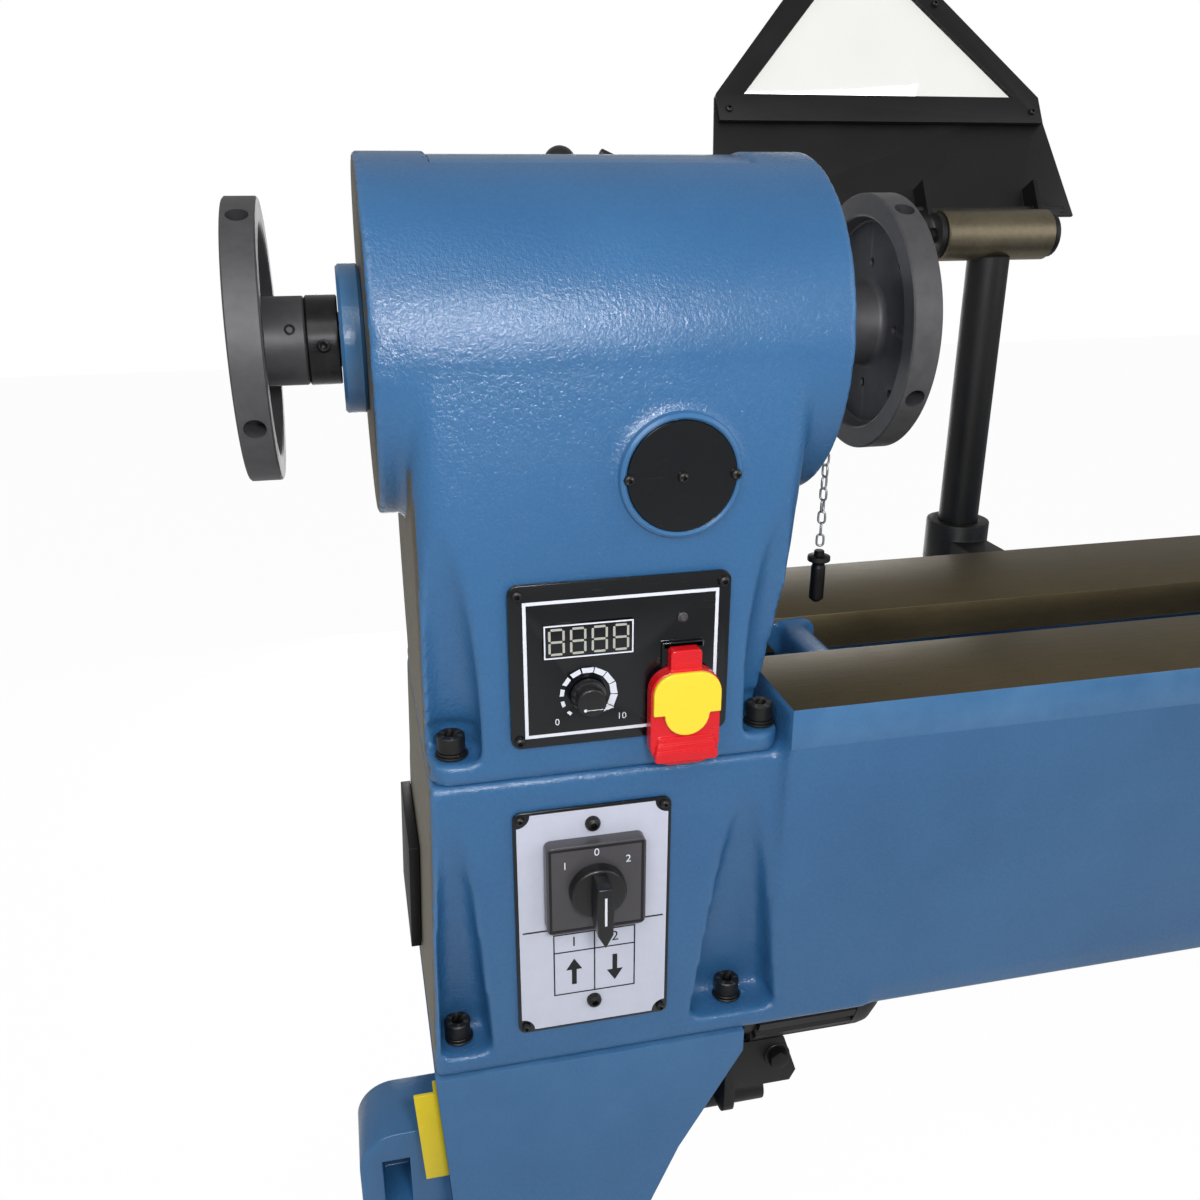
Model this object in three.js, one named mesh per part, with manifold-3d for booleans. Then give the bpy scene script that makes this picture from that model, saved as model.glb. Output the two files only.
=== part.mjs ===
// Wood lathe with two cast legs: headstock with faceplates at both ends of its spindle, belt drive,
// control panel, rear guard, tool rest and tailstock.
// Millimetres, +Z up, X along the spindle towards the tailstock, -Y is the operator's side.
// The pieces are written with x = 0 at the headstock's left end and z = 0 at the floor, and the
// finished group is then centred over its own footprint.
import * as THREE from 'three';
import { mergeVertices } from 'three/addons/utils/BufferGeometryUtils.js';
import Module from 'manifold-3d';

const wasm = await Module();
wasm.setup();

// Driving dimensions
const spindleHeight = 1100;
const centreHeight = 205;
const betweenCentres = 1070;
const gap = 0.3;
const overrun = 6;
const quarter = Math.PI / 2;
const turn = Math.PI * 2;

const castIron = { wall: 14, cornerRadius: 14 };
// How many sides the round pieces have
const fine = 40;
const medium = 24;
const coarse = 12;
const barrelSides = fine + coarse;
const plateSides = 36;
const knobSides = 16;
const scoopSides = 18;
const ringSides = 8;
const wireSides = 6;
const hexagon = 6;
const curveSteps = 6;
const beltSteps = 14;

const waysHeight = spindleHeight - centreHeight;

// Headstock casting: a round barrel on a column that narrows to a bolted foot
const head = {
  length: 254, radius: 98.3, columnLeft: 15.5, columnIn: 16, footLeft: 15.5, footIn: 29, waistIn: 39,
  footDepth: 100, footThick: 13, seatDrop: 31, pocketRadius: 17.5, pocketTop: 42, pocketLean: 36,
  pocketShift: 4, endWall: 34, shell: 13, beltBayLeft: 66, beltBayIn: 70, bayHalf: 74, boltLeft: 30,
  boltIn: 39, boltInset: 16,
};
// Right-hand edges, measured in from the barrel's right end
const headEdge = {
  column: head.length - head.columnIn, foot: head.length - head.footIn, waist: head.length - head.waistIn,
  bay: head.length - head.beltBayIn, bolt: head.length - head.boltIn,
};
const seatHeight = waysHeight - head.seatDrop;
const barrelZ = spindleHeight;
const boltY = head.footDepth - head.boltInset;
const headBoltX = [head.boltLeft, headEdge.bolt];

// Bed: two ways with a slot between them on a deep casting with a bottom lip
const bed = {
  depth: 236, halfWidth: 109, rearWidth: 131, slotHalf: 30, wayThick: 26, wall: 13, draft: 9.3, lip: 16,
  lipReach: 3.5, headEnd: 8, headGusset: 74, webThick: 18, webDepth: 96, firstWeb: 272, tailOverhang: 36,
  webPitch: 255, webHalf: 92, boltLeft: 25, boltRight: 204, boltInset: 20, innerRight: 165, narrowHalf: 64,
  pocketBack: 71, pocketHeight: 168, pocketPoint: 7, pocketCorner: 6, pocketSides: [[12, 20], [31, 27]],
  headStep: 1,
};
const bedBottom = waysHeight - bed.depth;

// Bolts, washers and feet
const bolt = {
  shank: 5, head: 8, headHeight: 10, washer: 9.5, washerThick: 3, socket: 4, socketDepth: 5, grip: 26,
};
const foot = { padRadius: 26, padHeight: 12, stud: 7, studLength: 52 };

// Legs: a wide flanged top, a waist and two splayed feet
const leg = {
  topHalf: 101, flange: 16, floor: 14, taper: 0.576, waist: 118, footHalf: 250, footHeight: 40, toeEase: 6,
  footReach: 78, archTop: 250, shoulder: 90, leftLean: 10, wall: 15, roomHalf: 128, roomCorner: 8,
};

// Spindle and its faceplates
const spindle = {
  rearRadius: 15, frontRadius: 20, noseRadius: 25, noseLength: 14, threadRadius: 16, rearBearing: 31,
  frontBearing: 40, bearingWidth: 18, collarRadius: 24.5, collarLength: 17.5, capRadius: 41, capLength: 13,
  shoulder: 4, collarSocket: 3,
};
const faceplate = {
  radius: 76, thick: 17.5, rim: 13, dish: 8, hubRadius: 24.2, rearHub: 19, frontHub: 29, tommyRadius: 7,
  tommyDepth: 11, tommyHoles: 4, screwHole: 3, innerRing: 36, outerRing: 53, ringHoles: 4,
};

// Belt drive with two speeds
const drive = {
  spindleLow: 60, spindleHigh: 38, motorLow: 26, motorHigh: 48, stepWidth: 22, flange: 3, flangeRise: 3,
  grooves: 2, grooveDepth: 2.5, beltThick: 4, beltWidth: 19, centres: 462, left: 96, hub: 8,
};
const motorZ = spindleHeight - drive.centres;

// Motor on its hinged plate
const motor = {
  radius: 62, finRise: 5, fins: 24, bodyLength: 74, bellLength: 16, coverLength: 26, shaft: 12, standoff: 4,
  plateThick: 8, plateHalf: 60, plateBelow: 96, plateAbove: 40, pivotY: 86, pivotRadius: 7, pivotBoss: 14,
  lugRight: 278, lugNarrow: 262, lugY: -25, lugHalf: 14, lugTop: 36, lugLow: 92, lugCorner: 9,
  gripLeft: 178,
  gripRight: 255, gripRadius: 11, gripDrop: 104, boxRear: 70, boxHalf: 30, boxLeft: 4, boxLength: 64,
  plateCorner: 12, shaftHole: 14,
};
const plateLeft = bed.headEnd + leg.topHalf * 2 + motor.standoff;

// Hinged rear guard: a folded panel, a gable frame and a clear window, leaning back when open
const guard = {
  centreX: 449, halfWidth: 147, flare: 16, panelHeight: 108, sheet: 3, barWidth: 24, barThick: 4,
  apexHalf: 20,
  rise: 156, lean: Math.PI / 6, pivotY: 222, pivotZ: 39, tubeRadius: 20, tubeLeft: 470, tubeLength: 96,
  postRadius: 17, earThick: 5, earRadius: 18, rodRadius: 6, lift: 26, windowThick: 3, footPlate: 12,
};

// Control panel and its fittings on the headstock's front
const panel = {
  left: 62, width: 125, top: 117, height: 97, thick: 3, corner: 6,
};
const display = { x: 44, z: 33.3, width: 50.6, height: 20, depth: 1.5 };
const speedKnob = { x: 43.5, z: 67, radius: 9, skirt: 10, height: 12, stem: 3 };
const paddle = {
  x: 97, tabTop: 41, tabWidth: 18, shoulder: 53, bottom: 111, width: 40.5, corner: 13, depth: 9,
  lipDepth: 4,
  housingWidth: 24, housingTop: 39, housingHeight: 50, housingDepth: 3, keyWidth: 39, keyBottom: 78,
  keyDisc: 13,
  keyDepth: 3, lips: 3, lipHeight: 4,
};

// Selector switch on its label plate on the end of the bed
const label = { left: 61, width: 95, top: 256, height: 157, thick: 2, corner: 5 };
const selector = {
  plate: 60, plateThick: 9, drop: 50, across: 47.5, knobRadius: 17, knobHeight: 24, gripWidth: 9,
  gripLength: 43,
  gripRise: 8, corner: 4,
};

// Inspection cover on the barrel's front
const inspection = { x: 157.5, drop: 63, radius: 30, thick: 3, rim: 33.5, rimReach: 2.5, hole: 22 };

// Hinged belt cover on the barrel's top with its knob and latch
const cover = {
  left: 39, rightIn: 38, front: -34, rear: 84, sink: 1.5, thick: 3, ledge: 9, swing: 4,
  knobIn: 92, knobY: 50, knobRadius: 10, knobStem: 4, knobLift: 1, latchIn: 44, latchLength: 30,
};
const coverRight = head.length - cover.rightIn;

// Locking pin on its chain
const chain = {
  out: 8, y: -50, drop: 60, links: 9, pitch: 7.2, wire: 1, linkWidth: 5.6, pinRadius: 4.5, pinLength: 30,
  pinHead: 7, eyeRadius: 3.1, eyeWire: 0.9, eyeStem: 1.9,
};

// Banjo, tool rest and tailstock
const banjo = {
  x: 770, width: 84, rear: 98, front: 238, thick: 34, slotHalf: 12,
  slotRear: 70, slotFront: 120, bossRadius: 29, bossHeight: 88, postRadius: 12.7, studRadius: 8,
  plateHalf: 50, plateThick: 14, plateLength: 76, leverLength: 120, leverRadius: 6, ball: 13, block: 44,
  collarRadius: 21, collarHeight: 14,
};
const rest = {
  length: 300, drop: 24, bladeHeight: 46, bladeThick: 14, lip: 26, reach: 22,
};
const tail = {
  baseLength: 178, baseHeight: 30, columnLength: 124, columnHalf: 46, barrelRadius: 37, barrelLength: 176,
  quillRadius: 20, quillTravel: 110, quillOut: 14, socket: 9, screw: 8, keyDepth: 14, lockRadius: 6,
  lockLength: 74, clampShaft: 10, clampLever: 150, clampBall: 15, plateThick: 16, boltRadius: 8,
};
const handwheel = {
  radius: 74, rim: 9, hub: 19, hubLength: 34, spokes: 3, spoke: 7, handle: 9, handleLength: 62,
};
const centre = { shank: 70, body: 15, bodyLength: 42, point: 24 };

// Side fittings
const sideBox = {
  reach: 52, top: 64, height: 178, front: 74, rear: 24, round: 26, mouthIn: 15, mouthWidth: 18,
  mouthDrop: 22, mouthHeight: 42,
};
const inverter = { left: 30, width: 150, reach: 84, drop: 18, height: 170, ribs: 6, ribDepth: 6 };
const endPlate = { rear: 92, drop: 100, height: 79, thick: 7 };
const hook = { reach: 15, thick: 2.5, width: 70, lip: 12, drop: 20, front: 90 };

// Solids
function solidOf(geometry) {
  const bare = geometry.clone();
  bare.deleteAttribute('normal');
  bare.deleteAttribute('uv');
  const merged = mergeVertices(bare, 1e-5);
  return new wasm.Manifold(new wasm.Mesh({
    numProp: 3,
    vertProperties: new Float32Array(merged.attributes.position.array),
    triVerts: new Uint32Array(merged.index.array),
  }));
}

function geometryOf(solid) {
  const mesh = solid.getMesh();
  const geometry = new THREE.BufferGeometry();
  geometry.setAttribute('position', new THREE.BufferAttribute(new Float32Array(mesh.vertProperties), 3));
  geometry.setIndex(new THREE.BufferAttribute(new Uint32Array(mesh.triVerts), 1));
  return geometry;
}

function join(...solids) {
  return solids.reduce((whole, piece) => whole.add(piece));
}

function cut(base, ...tools) {
  return tools.reduce((left, tool) => left.subtract(tool), base);
}

function block(x0, x1, y0, y1, z0, z1) {
  const geometry = new THREE.BoxGeometry(x1 - x0, y1 - y0, z1 - z0);
  geometry.translate((x0 + x1) / 2, (y0 + y1) / 2, (z0 + z1) / 2);
  return solidOf(geometry);
}

function point(x, y, z) {
  return new THREE.Vector3(x, y, z);
}

// A round bar from one point to another, tapered when the two radii differ
function bar(from, to, radius, endRadius = radius, sides = medium) {
  const along = to.clone().sub(from);
  const geometry = new THREE.CylinderGeometry(endRadius, radius, along.length(), sides);
  geometry.translate(0, along.length() / 2, 0);
  geometry.applyQuaternion(new THREE.Quaternion().setFromUnitVectors(point(0, 1, 0), along.normalize()));
  geometry.translate(from.x, from.y, from.z);
  return solidOf(geometry);
}

function barX(x0, x1, y, z, radius, sides = medium) {
  return bar(point(x0, y, z), point(x1, y, z), radius, radius, sides);
}

function barY(y0, y1, x, z, radius, sides = medium) {
  return bar(point(x, y0, z), point(x, y1, z), radius, radius, sides);
}

function barZ(z0, z1, x, y, radius, sides = medium) {
  return bar(point(x, y, z0), point(x, y, z1), radius, radius, sides);
}

function ball(x, y, z, radius, sides = coarse) {
  const geometry = new THREE.SphereGeometry(radius, sides, sides / 2);
  geometry.translate(x, y, z);
  return solidOf(geometry);
}

// A profile of [x, radius] places turned about a line along X at height z
function turnedX(profile, y, z, sides = fine) {
  const geometry = new THREE.LatheGeometry(profile.map(([x, r]) => new THREE.Vector2(r, x)), sides);
  geometry.rotateZ(-quarter);
  geometry.translate(0, y, z);
  const solid = solidOf(geometry);
  return solid.volume() < 0 ? solidOf(flipped(geometry)) : solid;
}

function flipped(geometry) {
  const turned = geometry.clone();
  const index = turned.index.array;
  for (let i = 0; i < index.length; i += 3) {
    [index[i], index[i + 1]] = [index[i + 1], index[i]];
  }
  return turned;
}

function ringX(x0, x1, y, z, outer, inner, sides = fine) {
  return turnedX([[x0, inner], [x1, inner], [x1, outer], [x0, outer], [x0, inner]], y, z, sides);
}

function outline(places) {
  return new THREE.Shape(places.map(([u, v]) => new THREE.Vector2(u, v)));
}

function roundedOutline(u0, u1, v0, v1, radius) {
  const shape = new THREE.Shape();
  shape.moveTo(u0 + radius, v0);
  shape.lineTo(u1 - radius, v0);
  shape.absarc(u1 - radius, v0 + radius, radius, -quarter, 0);
  shape.lineTo(u1, v1 - radius);
  shape.absarc(u1 - radius, v1 - radius, radius, 0, quarter);
  shape.lineTo(u0 + radius, v1);
  shape.absarc(u0 + radius, v1 - radius, radius, quarter, quarter * 2);
  shape.lineTo(u0, v0 + radius);
  shape.absarc(u0 + radius, v0 + radius, radius, quarter * 2, quarter * 3);
  return shape;
}

function prism(shape, depth, basis, corner) {
  const geometry = new THREE.ExtrudeGeometry(shape,
    { depth, bevelEnabled: false, curveSegments: curveSteps });
  geometry.applyMatrix4(new THREE.Matrix4().makeBasis(...basis));
  geometry.translate(corner.x, corner.y, corner.z);
  return solidOf(geometry);
}

// Prisms of an outline drawn in (y, z), (x, z) and (x, y)
function prismX(shape, x0, x1) {
  return prism(shape, x1 - x0, [point(0, 1, 0), point(0, 0, 1), point(1, 0, 0)], point(x0, 0, 0));
}

function prismY(shape, y0, y1) {
  return prism(shape, y1 - y0, [point(1, 0, 0), point(0, 0, 1), point(0, -1, 0)], point(0, y1, 0));
}

function prismZ(shape, z0, z1) {
  return prism(shape, z1 - z0, [point(1, 0, 0), point(0, 1, 0), point(0, 0, 1)], point(0, 0, z0));
}

// A skin through rounded rectangles [x0, x1, y0, y1, z] stacked upwards
function loft(sections, radius, steps = 4) {
  const rings = sections.map(([x0, x1, y0, y1, z]) => {
    const corners = [[x1, y0, -1, 1, 3], [x1, y1, -1, -1, 0], [x0, y1, 1, -1, 1], [x0, y0, 1, 1, 2]];
    return corners.flatMap(([x, y, inX, inY, start]) => Array.from({ length: steps + 1 }, (_, i) => {
      const angle = (start + i / steps) * quarter;
      return point(x + radius * (inX + Math.cos(angle)), y + radius * (inY + Math.sin(angle)), z);
    }));
  });
  const count = rings[0].length;
  const places = rings.flat();
  const faces = [];
  for (let ring = 0; ring + 1 < rings.length; ring += 1) {
    for (let i = 0; i < count; i += 1) {
      const a = ring * count + i;
      const b = ring * count + (i + 1) % count;
      faces.push(a, b, b + count, a, b + count, a + count);
    }
  }
  const last = (rings.length - 1) * count;
  for (let i = 1; i + 1 < count; i += 1) {
    faces.push(0, i + 1, i, last, last + i, last + i + 1);
  }
  const geometry = new THREE.BufferGeometry().setFromPoints(places);
  geometry.setIndex(faces);
  return solidOf(geometry);
}

function mirroredY(solid) {
  return solid.mirror([0, 1, 0]);
}

// Finishes
const finish = {
  paint: new THREE.MeshStandardMaterial({ color: 0x2f6fae, roughness: 0.4, metalness: 0.1 }),
  iron: new THREE.MeshStandardMaterial({ color: 0x6b6353, roughness: 0.45, metalness: 0.8 }),
  phosphate: new THREE.MeshStandardMaterial({ color: 0x3a3a3c, roughness: 0.6, metalness: 0.5 }),
  steel: new THREE.MeshStandardMaterial({ color: 0xa8a9aa, roughness: 0.3, metalness: 0.9 }),
  blackSteel: new THREE.MeshStandardMaterial({ color: 0x16171a, roughness: 0.35, metalness: 0.5 }),
  blackPlastic: new THREE.MeshStandardMaterial({ color: 0x131315, roughness: 0.4, metalness: 0 }),
  greyPlastic: new THREE.MeshStandardMaterial({ color: 0x54565a, roughness: 0.5, metalness: 0 }),
  panelBlack: new THREE.MeshStandardMaterial({ color: 0x08090b, roughness: 0.3, metalness: 0.2 }),
  labelWhite: new THREE.MeshStandardMaterial({ color: 0xc9ccd2, roughness: 0.4, metalness: 0.1 }),
  red: new THREE.MeshStandardMaterial({ color: 0xc8141a, roughness: 0.35, metalness: 0 }),
  yellow: new THREE.MeshStandardMaterial({ color: 0xf2d21b, roughness: 0.4, metalness: 0 }),
  rubber: new THREE.MeshStandardMaterial({ color: 0x1a1a1a, roughness: 0.9, metalness: 0 }),
  clear: new THREE.MeshStandardMaterial({ color: 0xdfe5e8, roughness: 0.1, metalness: 0,
  transparent: true, opacity: 0.3 }),
};

const lathe = new THREE.Group();

function add(name, solid, material) {
  const mesh = new THREE.Mesh(geometryOf(solid), material);
  mesh.name = name;
  lathe.add(mesh);
}

// Headstock casting
function pocket(x, side) {
  const radius = head.pocketRadius;
  const floorZ = seatHeight + head.footThick;
  const outward = x < (head.footLeft + headEdge.foot) / 2 ? -1 : 1;
  const low = point(x, side * (boltY + head.pocketShift), floorZ);
  const high = point(x + outward * head.pocketShift, side * (boltY + head.pocketLean),
    spindleHeight - head.pocketTop);
  const below = block(x - radius * 2, x + radius * 2, side * boltY - radius * 3, side * boltY + radius * 3,
    seatHeight - overrun, floorZ);
  return cut(join(bar(low, high, radius, radius * 0.7, scoopSides),
    ball(high.x, high.y, high.z, radius * 0.7, coarse),
    barZ(floorZ - overrun, floorZ + radius, low.x, low.y, radius, scoopSides)), below);
}

const columnFoot = seatHeight + head.footThick;
const column = loft([
  [head.footLeft, headEdge.waist, -head.footDepth, head.footDepth, seatHeight],
  [head.columnLeft, headEdge.column, -head.radius + gap, head.radius - gap, barrelZ],
], castIron.cornerRadius);
const headFoot = loft([
  [head.footLeft, headEdge.foot, -head.footDepth, head.footDepth, seatHeight],
  [head.footLeft, headEdge.foot, -head.footDepth, head.footDepth, columnFoot],
], castIron.cornerRadius);
const barrel = barX(0, head.length, 0, barrelZ, head.radius, barrelSides);
const barrelRoom = barX(head.endWall, head.length - head.endWall, 0, barrelZ, head.radius - head.shell,
  fine);
const columnRoom = block(head.beltBayLeft, headEdge.bay, -head.bayHalf, head.bayHalf,
  seatHeight - overrun, barrelZ);
const bearingSeats = [
  barX(-overrun, head.endWall + overrun, 0, spindleHeight, spindle.rearRadius + spindle.shoulder, medium),
  barX(spindle.shoulder, spindle.shoulder + spindle.bearingWidth + gap * 2, 0, spindleHeight,
    spindle.rearBearing + gap, fine),
  barX(head.length - head.endWall - overrun, head.length + overrun, 0, spindleHeight,
    spindle.noseRadius + gap * 2, medium),
  barX(head.length - spindle.shoulder - spindle.bearingWidth - gap * 2, head.length - spindle.shoulder, 0,
    spindleHeight, spindle.frontBearing + gap, fine),
];
const coverRecess = cut(
  block(cover.left, coverRight, cover.front, cover.rear + cover.swing, barrelZ,
    barrelZ + head.radius + overrun),
  barX(cover.left - overrun, coverRight + overrun, 0, barrelZ, head.radius - cover.sink - cover.thick - gap,
    barrelSides),
);
const coverMouth = block(cover.left + cover.ledge, coverRight - cover.ledge, cover.front + cover.ledge,
  cover.rear - cover.ledge, barrelZ + head.radius / 2, barrelZ + head.radius + overrun);

// The inspection cover's boss and hole
const inspectionZ = spindleHeight - inspection.drop;
const inspectionY = -head.radius - inspection.rimReach;
const inspectionOut = point(0, -1, 0);
function along(start, direction, distance) {
  return start.clone().addScaledVector(direction, distance);
}
const inspectionSeat = point(inspection.x, inspectionY, inspectionZ);
const inspectionBoss = bar(along(inspectionSeat, inspectionOut, -head.shell * 2), inspectionSeat,
  inspection.rim);
const inspectionFace = bar(inspectionSeat, along(inspectionSeat, inspectionOut, head.shell * 2),
  inspection.rim);
const inspectionHole = bar(along(inspectionSeat, inspectionOut, -head.shell * 4),
  along(inspectionSeat, inspectionOut, overrun), inspection.hole);

const boltHoles = headBoltX.flatMap((x) => [-boltY, boltY].map((y) => (
  barZ(seatHeight - overrun, columnFoot + overrun, x, y, bolt.shank + gap, coarse))));

const eyeZ = spindleHeight - chain.drop;
const chainX = head.length + chain.out;
const eyeRing = new THREE.TorusGeometry(chain.eyeRadius, chain.eyeWire, wireSides, coarse);
eyeRing.rotateX(quarter);
eyeRing.translate(chainX, chain.y, eyeZ);
const chainEye = join(
  barX(head.length - overrun, chainX - chain.eyeRadius, chain.y, eyeZ, chain.eyeStem, coarse),
  solidOf(eyeRing),
);
let headCasting = join(barrel, column, headFoot, inspectionBoss, chainEye);
headCasting = cut(headCasting, ...headBoltX.flatMap((x) => [pocket(x, -1), pocket(x, 1)]));
headCasting = cut(headCasting, barrelRoom, columnRoom, ...bearingSeats, coverRecess, coverMouth,
  inspectionFace, inspectionHole, ...boltHoles);
add('headstock_housing', headCasting, finish.paint);

// Bed: front and rear rails, webs and the closed end that carries the headstock
const headGussetTop = headEdge.foot + bed.headStep;
const bedEnd = head.length + betweenCentres + centre.shank + centre.bodyLength + tail.baseLength;
function railOutline(side, wayEdge) {
  const outer = bed.halfWidth;
  const wallFoot = outer - bed.draft;
  const places = [
    [-wayEdge, waysHeight], [-bed.slotHalf, waysHeight], [-bed.slotHalf, waysHeight - bed.wayThick],
    [-(outer - bed.wall * 2), waysHeight - bed.wayThick],
    [-(wallFoot - bed.wall), waysHeight - bed.wayThick * 2],
    [-(wallFoot - bed.wall), bedBottom], [-(wallFoot - bed.lipReach), bedBottom],
    [-wallFoot, bedBottom + bed.lip],
    [-outer, waysHeight - bed.wayThick - wayEdge + outer], [-wayEdge, waysHeight - bed.wayThick],
  ];
  return outline(places.map(([y, z]) => [y * side, z]));
}
const rails = [[1, bed.halfWidth + gap / 10], [-1, bed.rearWidth]].map(([side, edge]) => (
  prismX(railOutline(side, edge), headGussetTop, bedEnd)));
const endOutline = outline([
  [head.footLeft, seatHeight], [headGussetTop, seatHeight],
  [headGussetTop + bed.headGusset, bedBottom + bed.lip],
  [headGussetTop + bed.headGusset, bedBottom], [bed.headEnd, bedBottom],
]);
const endCapOutline = roundedOutline(-head.footDepth, head.footDepth, bedBottom, seatHeight,
  castIron.cornerRadius / 7);
const endBlock = prismY(endOutline, -head.footDepth, head.footDepth)
  .intersect(prismX(endCapOutline, 0, headGussetTop + bed.headGusset + overrun));
const pocketRight = bed.boltRight + bed.pocketSides[1][1] + bed.wall / 2;
const roomTop = seatHeight - bed.wayThick * 1.5;
const underRoom = block(pocketRight, headGussetTop + bed.headGusset + overrun, -head.bayHalf, head.bayHalf,
  bedBottom - overrun, roomTop);
const narrowRoom = block(bed.innerRight - overrun, pocketRight + overrun, -bed.narrowHalf, bed.narrowHalf,
  bedBottom - overrun, roomTop);
const endRoom = block(head.beltBayLeft, bed.innerRight, -head.bayHalf, head.bayHalf, bedBottom - overrun,
  roomTop);
const beltSlot = block(head.beltBayLeft, bed.innerRight, -head.bayHalf, head.bayHalf, bedBottom,
  seatHeight + overrun);
const legBolts = [bed.boltLeft, bed.boltRight];
const legBoltY = head.footDepth - bed.boltInset;
const legFloor = bedBottom + leg.floor;
// Recess over a leg bolt: a flat floor under walls that close to a point on the front face
function lowPocket(x, side, [left, right]) {
  const ahead = -head.footDepth - overrun * 2;
  const scoop = loft([
    [x - left, x + right, ahead, -bed.pocketBack, legFloor],
    [x - bed.pocketPoint, x + bed.pocketPoint, ahead, -head.footDepth + gap, legFloor + bed.pocketHeight],
  ], bed.pocketCorner);
  return side < 0 ? scoop : mirroredY(scoop);
}
const legHoles = legBolts.flatMap((x) => [-legBoltY, legBoltY].map((y) => (
  barZ(bedBottom - overrun, legFloor + overrun, x, y, bolt.shank + gap, coarse))));
const headHoles = headBoltX.flatMap((x) => [-boltY, boltY].map((y) => (
  barZ(seatHeight - bolt.grip, seatHeight + overrun, x, y, bolt.shank + gap, coarse))));
const webStarts = [];
for (let x = bed.firstWeb; x < bedEnd - bed.webPitch / 2; x += bed.webPitch) {
  webStarts.push(x);
}
const webs = webStarts.map((x, i) => block(x, x + bed.webThick, -bed.webHalf, bed.webHalf,
  waysHeight - bed.webDepth * (i ? 2 : 1),
  i ? waysHeight - bed.webDepth : waysHeight - overrun / 2));
const tailBlock = cut(
  block(bedEnd - leg.topHalf * 2, bedEnd, -head.footDepth, head.footDepth, bedBottom,
    bedBottom + leg.floor),
  block(bedEnd - leg.topHalf, bedEnd - leg.topHalf / 2, -bed.slotHalf, bed.slotHalf, bedBottom - overrun,
    bedBottom + leg.floor + overrun),
);
let bedCasting = join(...rails, ...webs, tailBlock,
  cut(endBlock, underRoom, narrowRoom, endRoom, beltSlot));
bedCasting = cut(bedCasting,
  ...legBolts.flatMap((x, i) => [-1, 1].map((side) => lowPocket(x, side, bed.pocketSides[i]))),
  ...legHoles, ...headHoles);
add('bed', bedCasting, finish.paint);

// Legs
function legCasting(x0, x1, mirrored) {
  const top = bedBottom - gap;
  const face = (x) => (mirrored ? x0 + x1 - x : x);
  const slopeEnd = top - leg.flange - (x1 - x0 - leg.waist) / leg.taper;
  const side = outline([
    [face(x0), top], [face(x1), top], [face(x1), top - leg.flange], [face(x0 + leg.waist), slopeEnd],
    [face(x0 + leg.waist + leg.leftLean), foot.padHeight + leg.footHeight],
    [face(x0 + leg.waist + leg.leftLean), foot.padHeight],
    [face(x0 + leg.leftLean / 2), foot.padHeight],
    [face(x0 + leg.leftLean / 2), foot.padHeight + leg.footHeight],
    [face(x0 + leg.leftLean), slopeEnd],
  ]);
  const sole = foot.padHeight;
  const toe = sole + leg.footHeight;
  const archHalf = leg.footHalf - leg.footReach;
  const half = [
    [leg.topHalf, top], [leg.topHalf, top - leg.shoulder], [leg.footHalf - foot.padRadius * 2, toe],
    [leg.footHalf - leg.toeEase, toe], [leg.footHalf, toe - leg.toeEase], [leg.footHalf, sole],
    [archHalf, sole],
    [archHalf, sole + leg.footHeight / 2], [leg.topHalf / 2, sole + leg.archTop],
  ];
  const front = outline([...half, ...half.map(([y, z]) => [-y, z]).reverse()]);
  const wallFace = x0 + leg.wall + leg.leftLean;
  const roomLeft = mirrored ? x0 - overrun : wallFace;
  const roomRight = mirrored ? face(wallFace) : x1 + overrun;
  const upperHalf = leg.topHalf - leg.wall;
  const room = loft([
    [roomLeft, roomRight, -leg.roomHalf, leg.roomHalf, sole + leg.archTop + leg.wall],
    [roomLeft, roomRight, -upperHalf, upperHalf, top - leg.shoulder],
    [roomLeft, roomRight, -upperHalf, upperHalf, top - leg.flange],
  ], leg.roomCorner);
  return cut(prismY(side, -leg.footHalf, leg.footHalf).intersect(prismX(front, x0 - overrun,
    x1 + overrun)), room);
}
const legLeft = bed.headEnd;
const legRight = legLeft + leg.topHalf * 2;
const feetY = leg.footHalf - foot.padRadius;
const legCentreX = legLeft + leg.leftLean + leg.waist / 2;
const tailLegRight = bedEnd - bed.tailOverhang;
const tailLegLeft = tailLegRight - leg.topHalf * 2;
const tailLegCentreX = tailLegRight - leg.leftLean - leg.waist / 2;
function studHoles(x) {
  return [-feetY, feetY].map((y) => barZ(0, foot.padHeight + leg.footHeight + overrun, x, y,
    foot.stud + gap, coarse));
}
const legRoom = block(head.beltBayLeft, headEdge.bay, -head.bayHalf, head.bayHalf,
  bedBottom - leg.shoulder, bedBottom + overrun);
const shaftWindow = block(headEdge.bay - overrun, legRight + overrun, -motor.radius / 2, motor.radius / 2,
  motorZ - motor.radius / 2, bedBottom + overrun);
const pivotBoss = barX(legRight - leg.topHalf / 3, plateLeft - gap, motor.pivotY, motorZ, motor.pivotBoss,
  coarse);
const plateRight = plateLeft + motor.plateThick;
const pivotRod = barX(legRight - leg.topHalf / 4, plateRight + overrun * 2, motor.pivotY, motorZ,
  motor.pivotRadius,
  coarse);
const headLegHoles = legBolts.flatMap((x) => [-legBoltY, legBoltY].map((y) => (
  barZ(bedBottom - bolt.grip, bedBottom + overrun, x, y, bolt.shank + gap, coarse))));
add('headstock_leg', cut(join(legCasting(legLeft, legRight, false), pivotBoss, pivotRod), legRoom,
  shaftWindow,
  ...studHoles(legCentreX), ...headLegHoles), finish.paint);
add('tailstock_leg', cut(legCasting(tailLegLeft, tailLegRight, true), ...studHoles(tailLegCentreX)),
  finish.paint);

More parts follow.
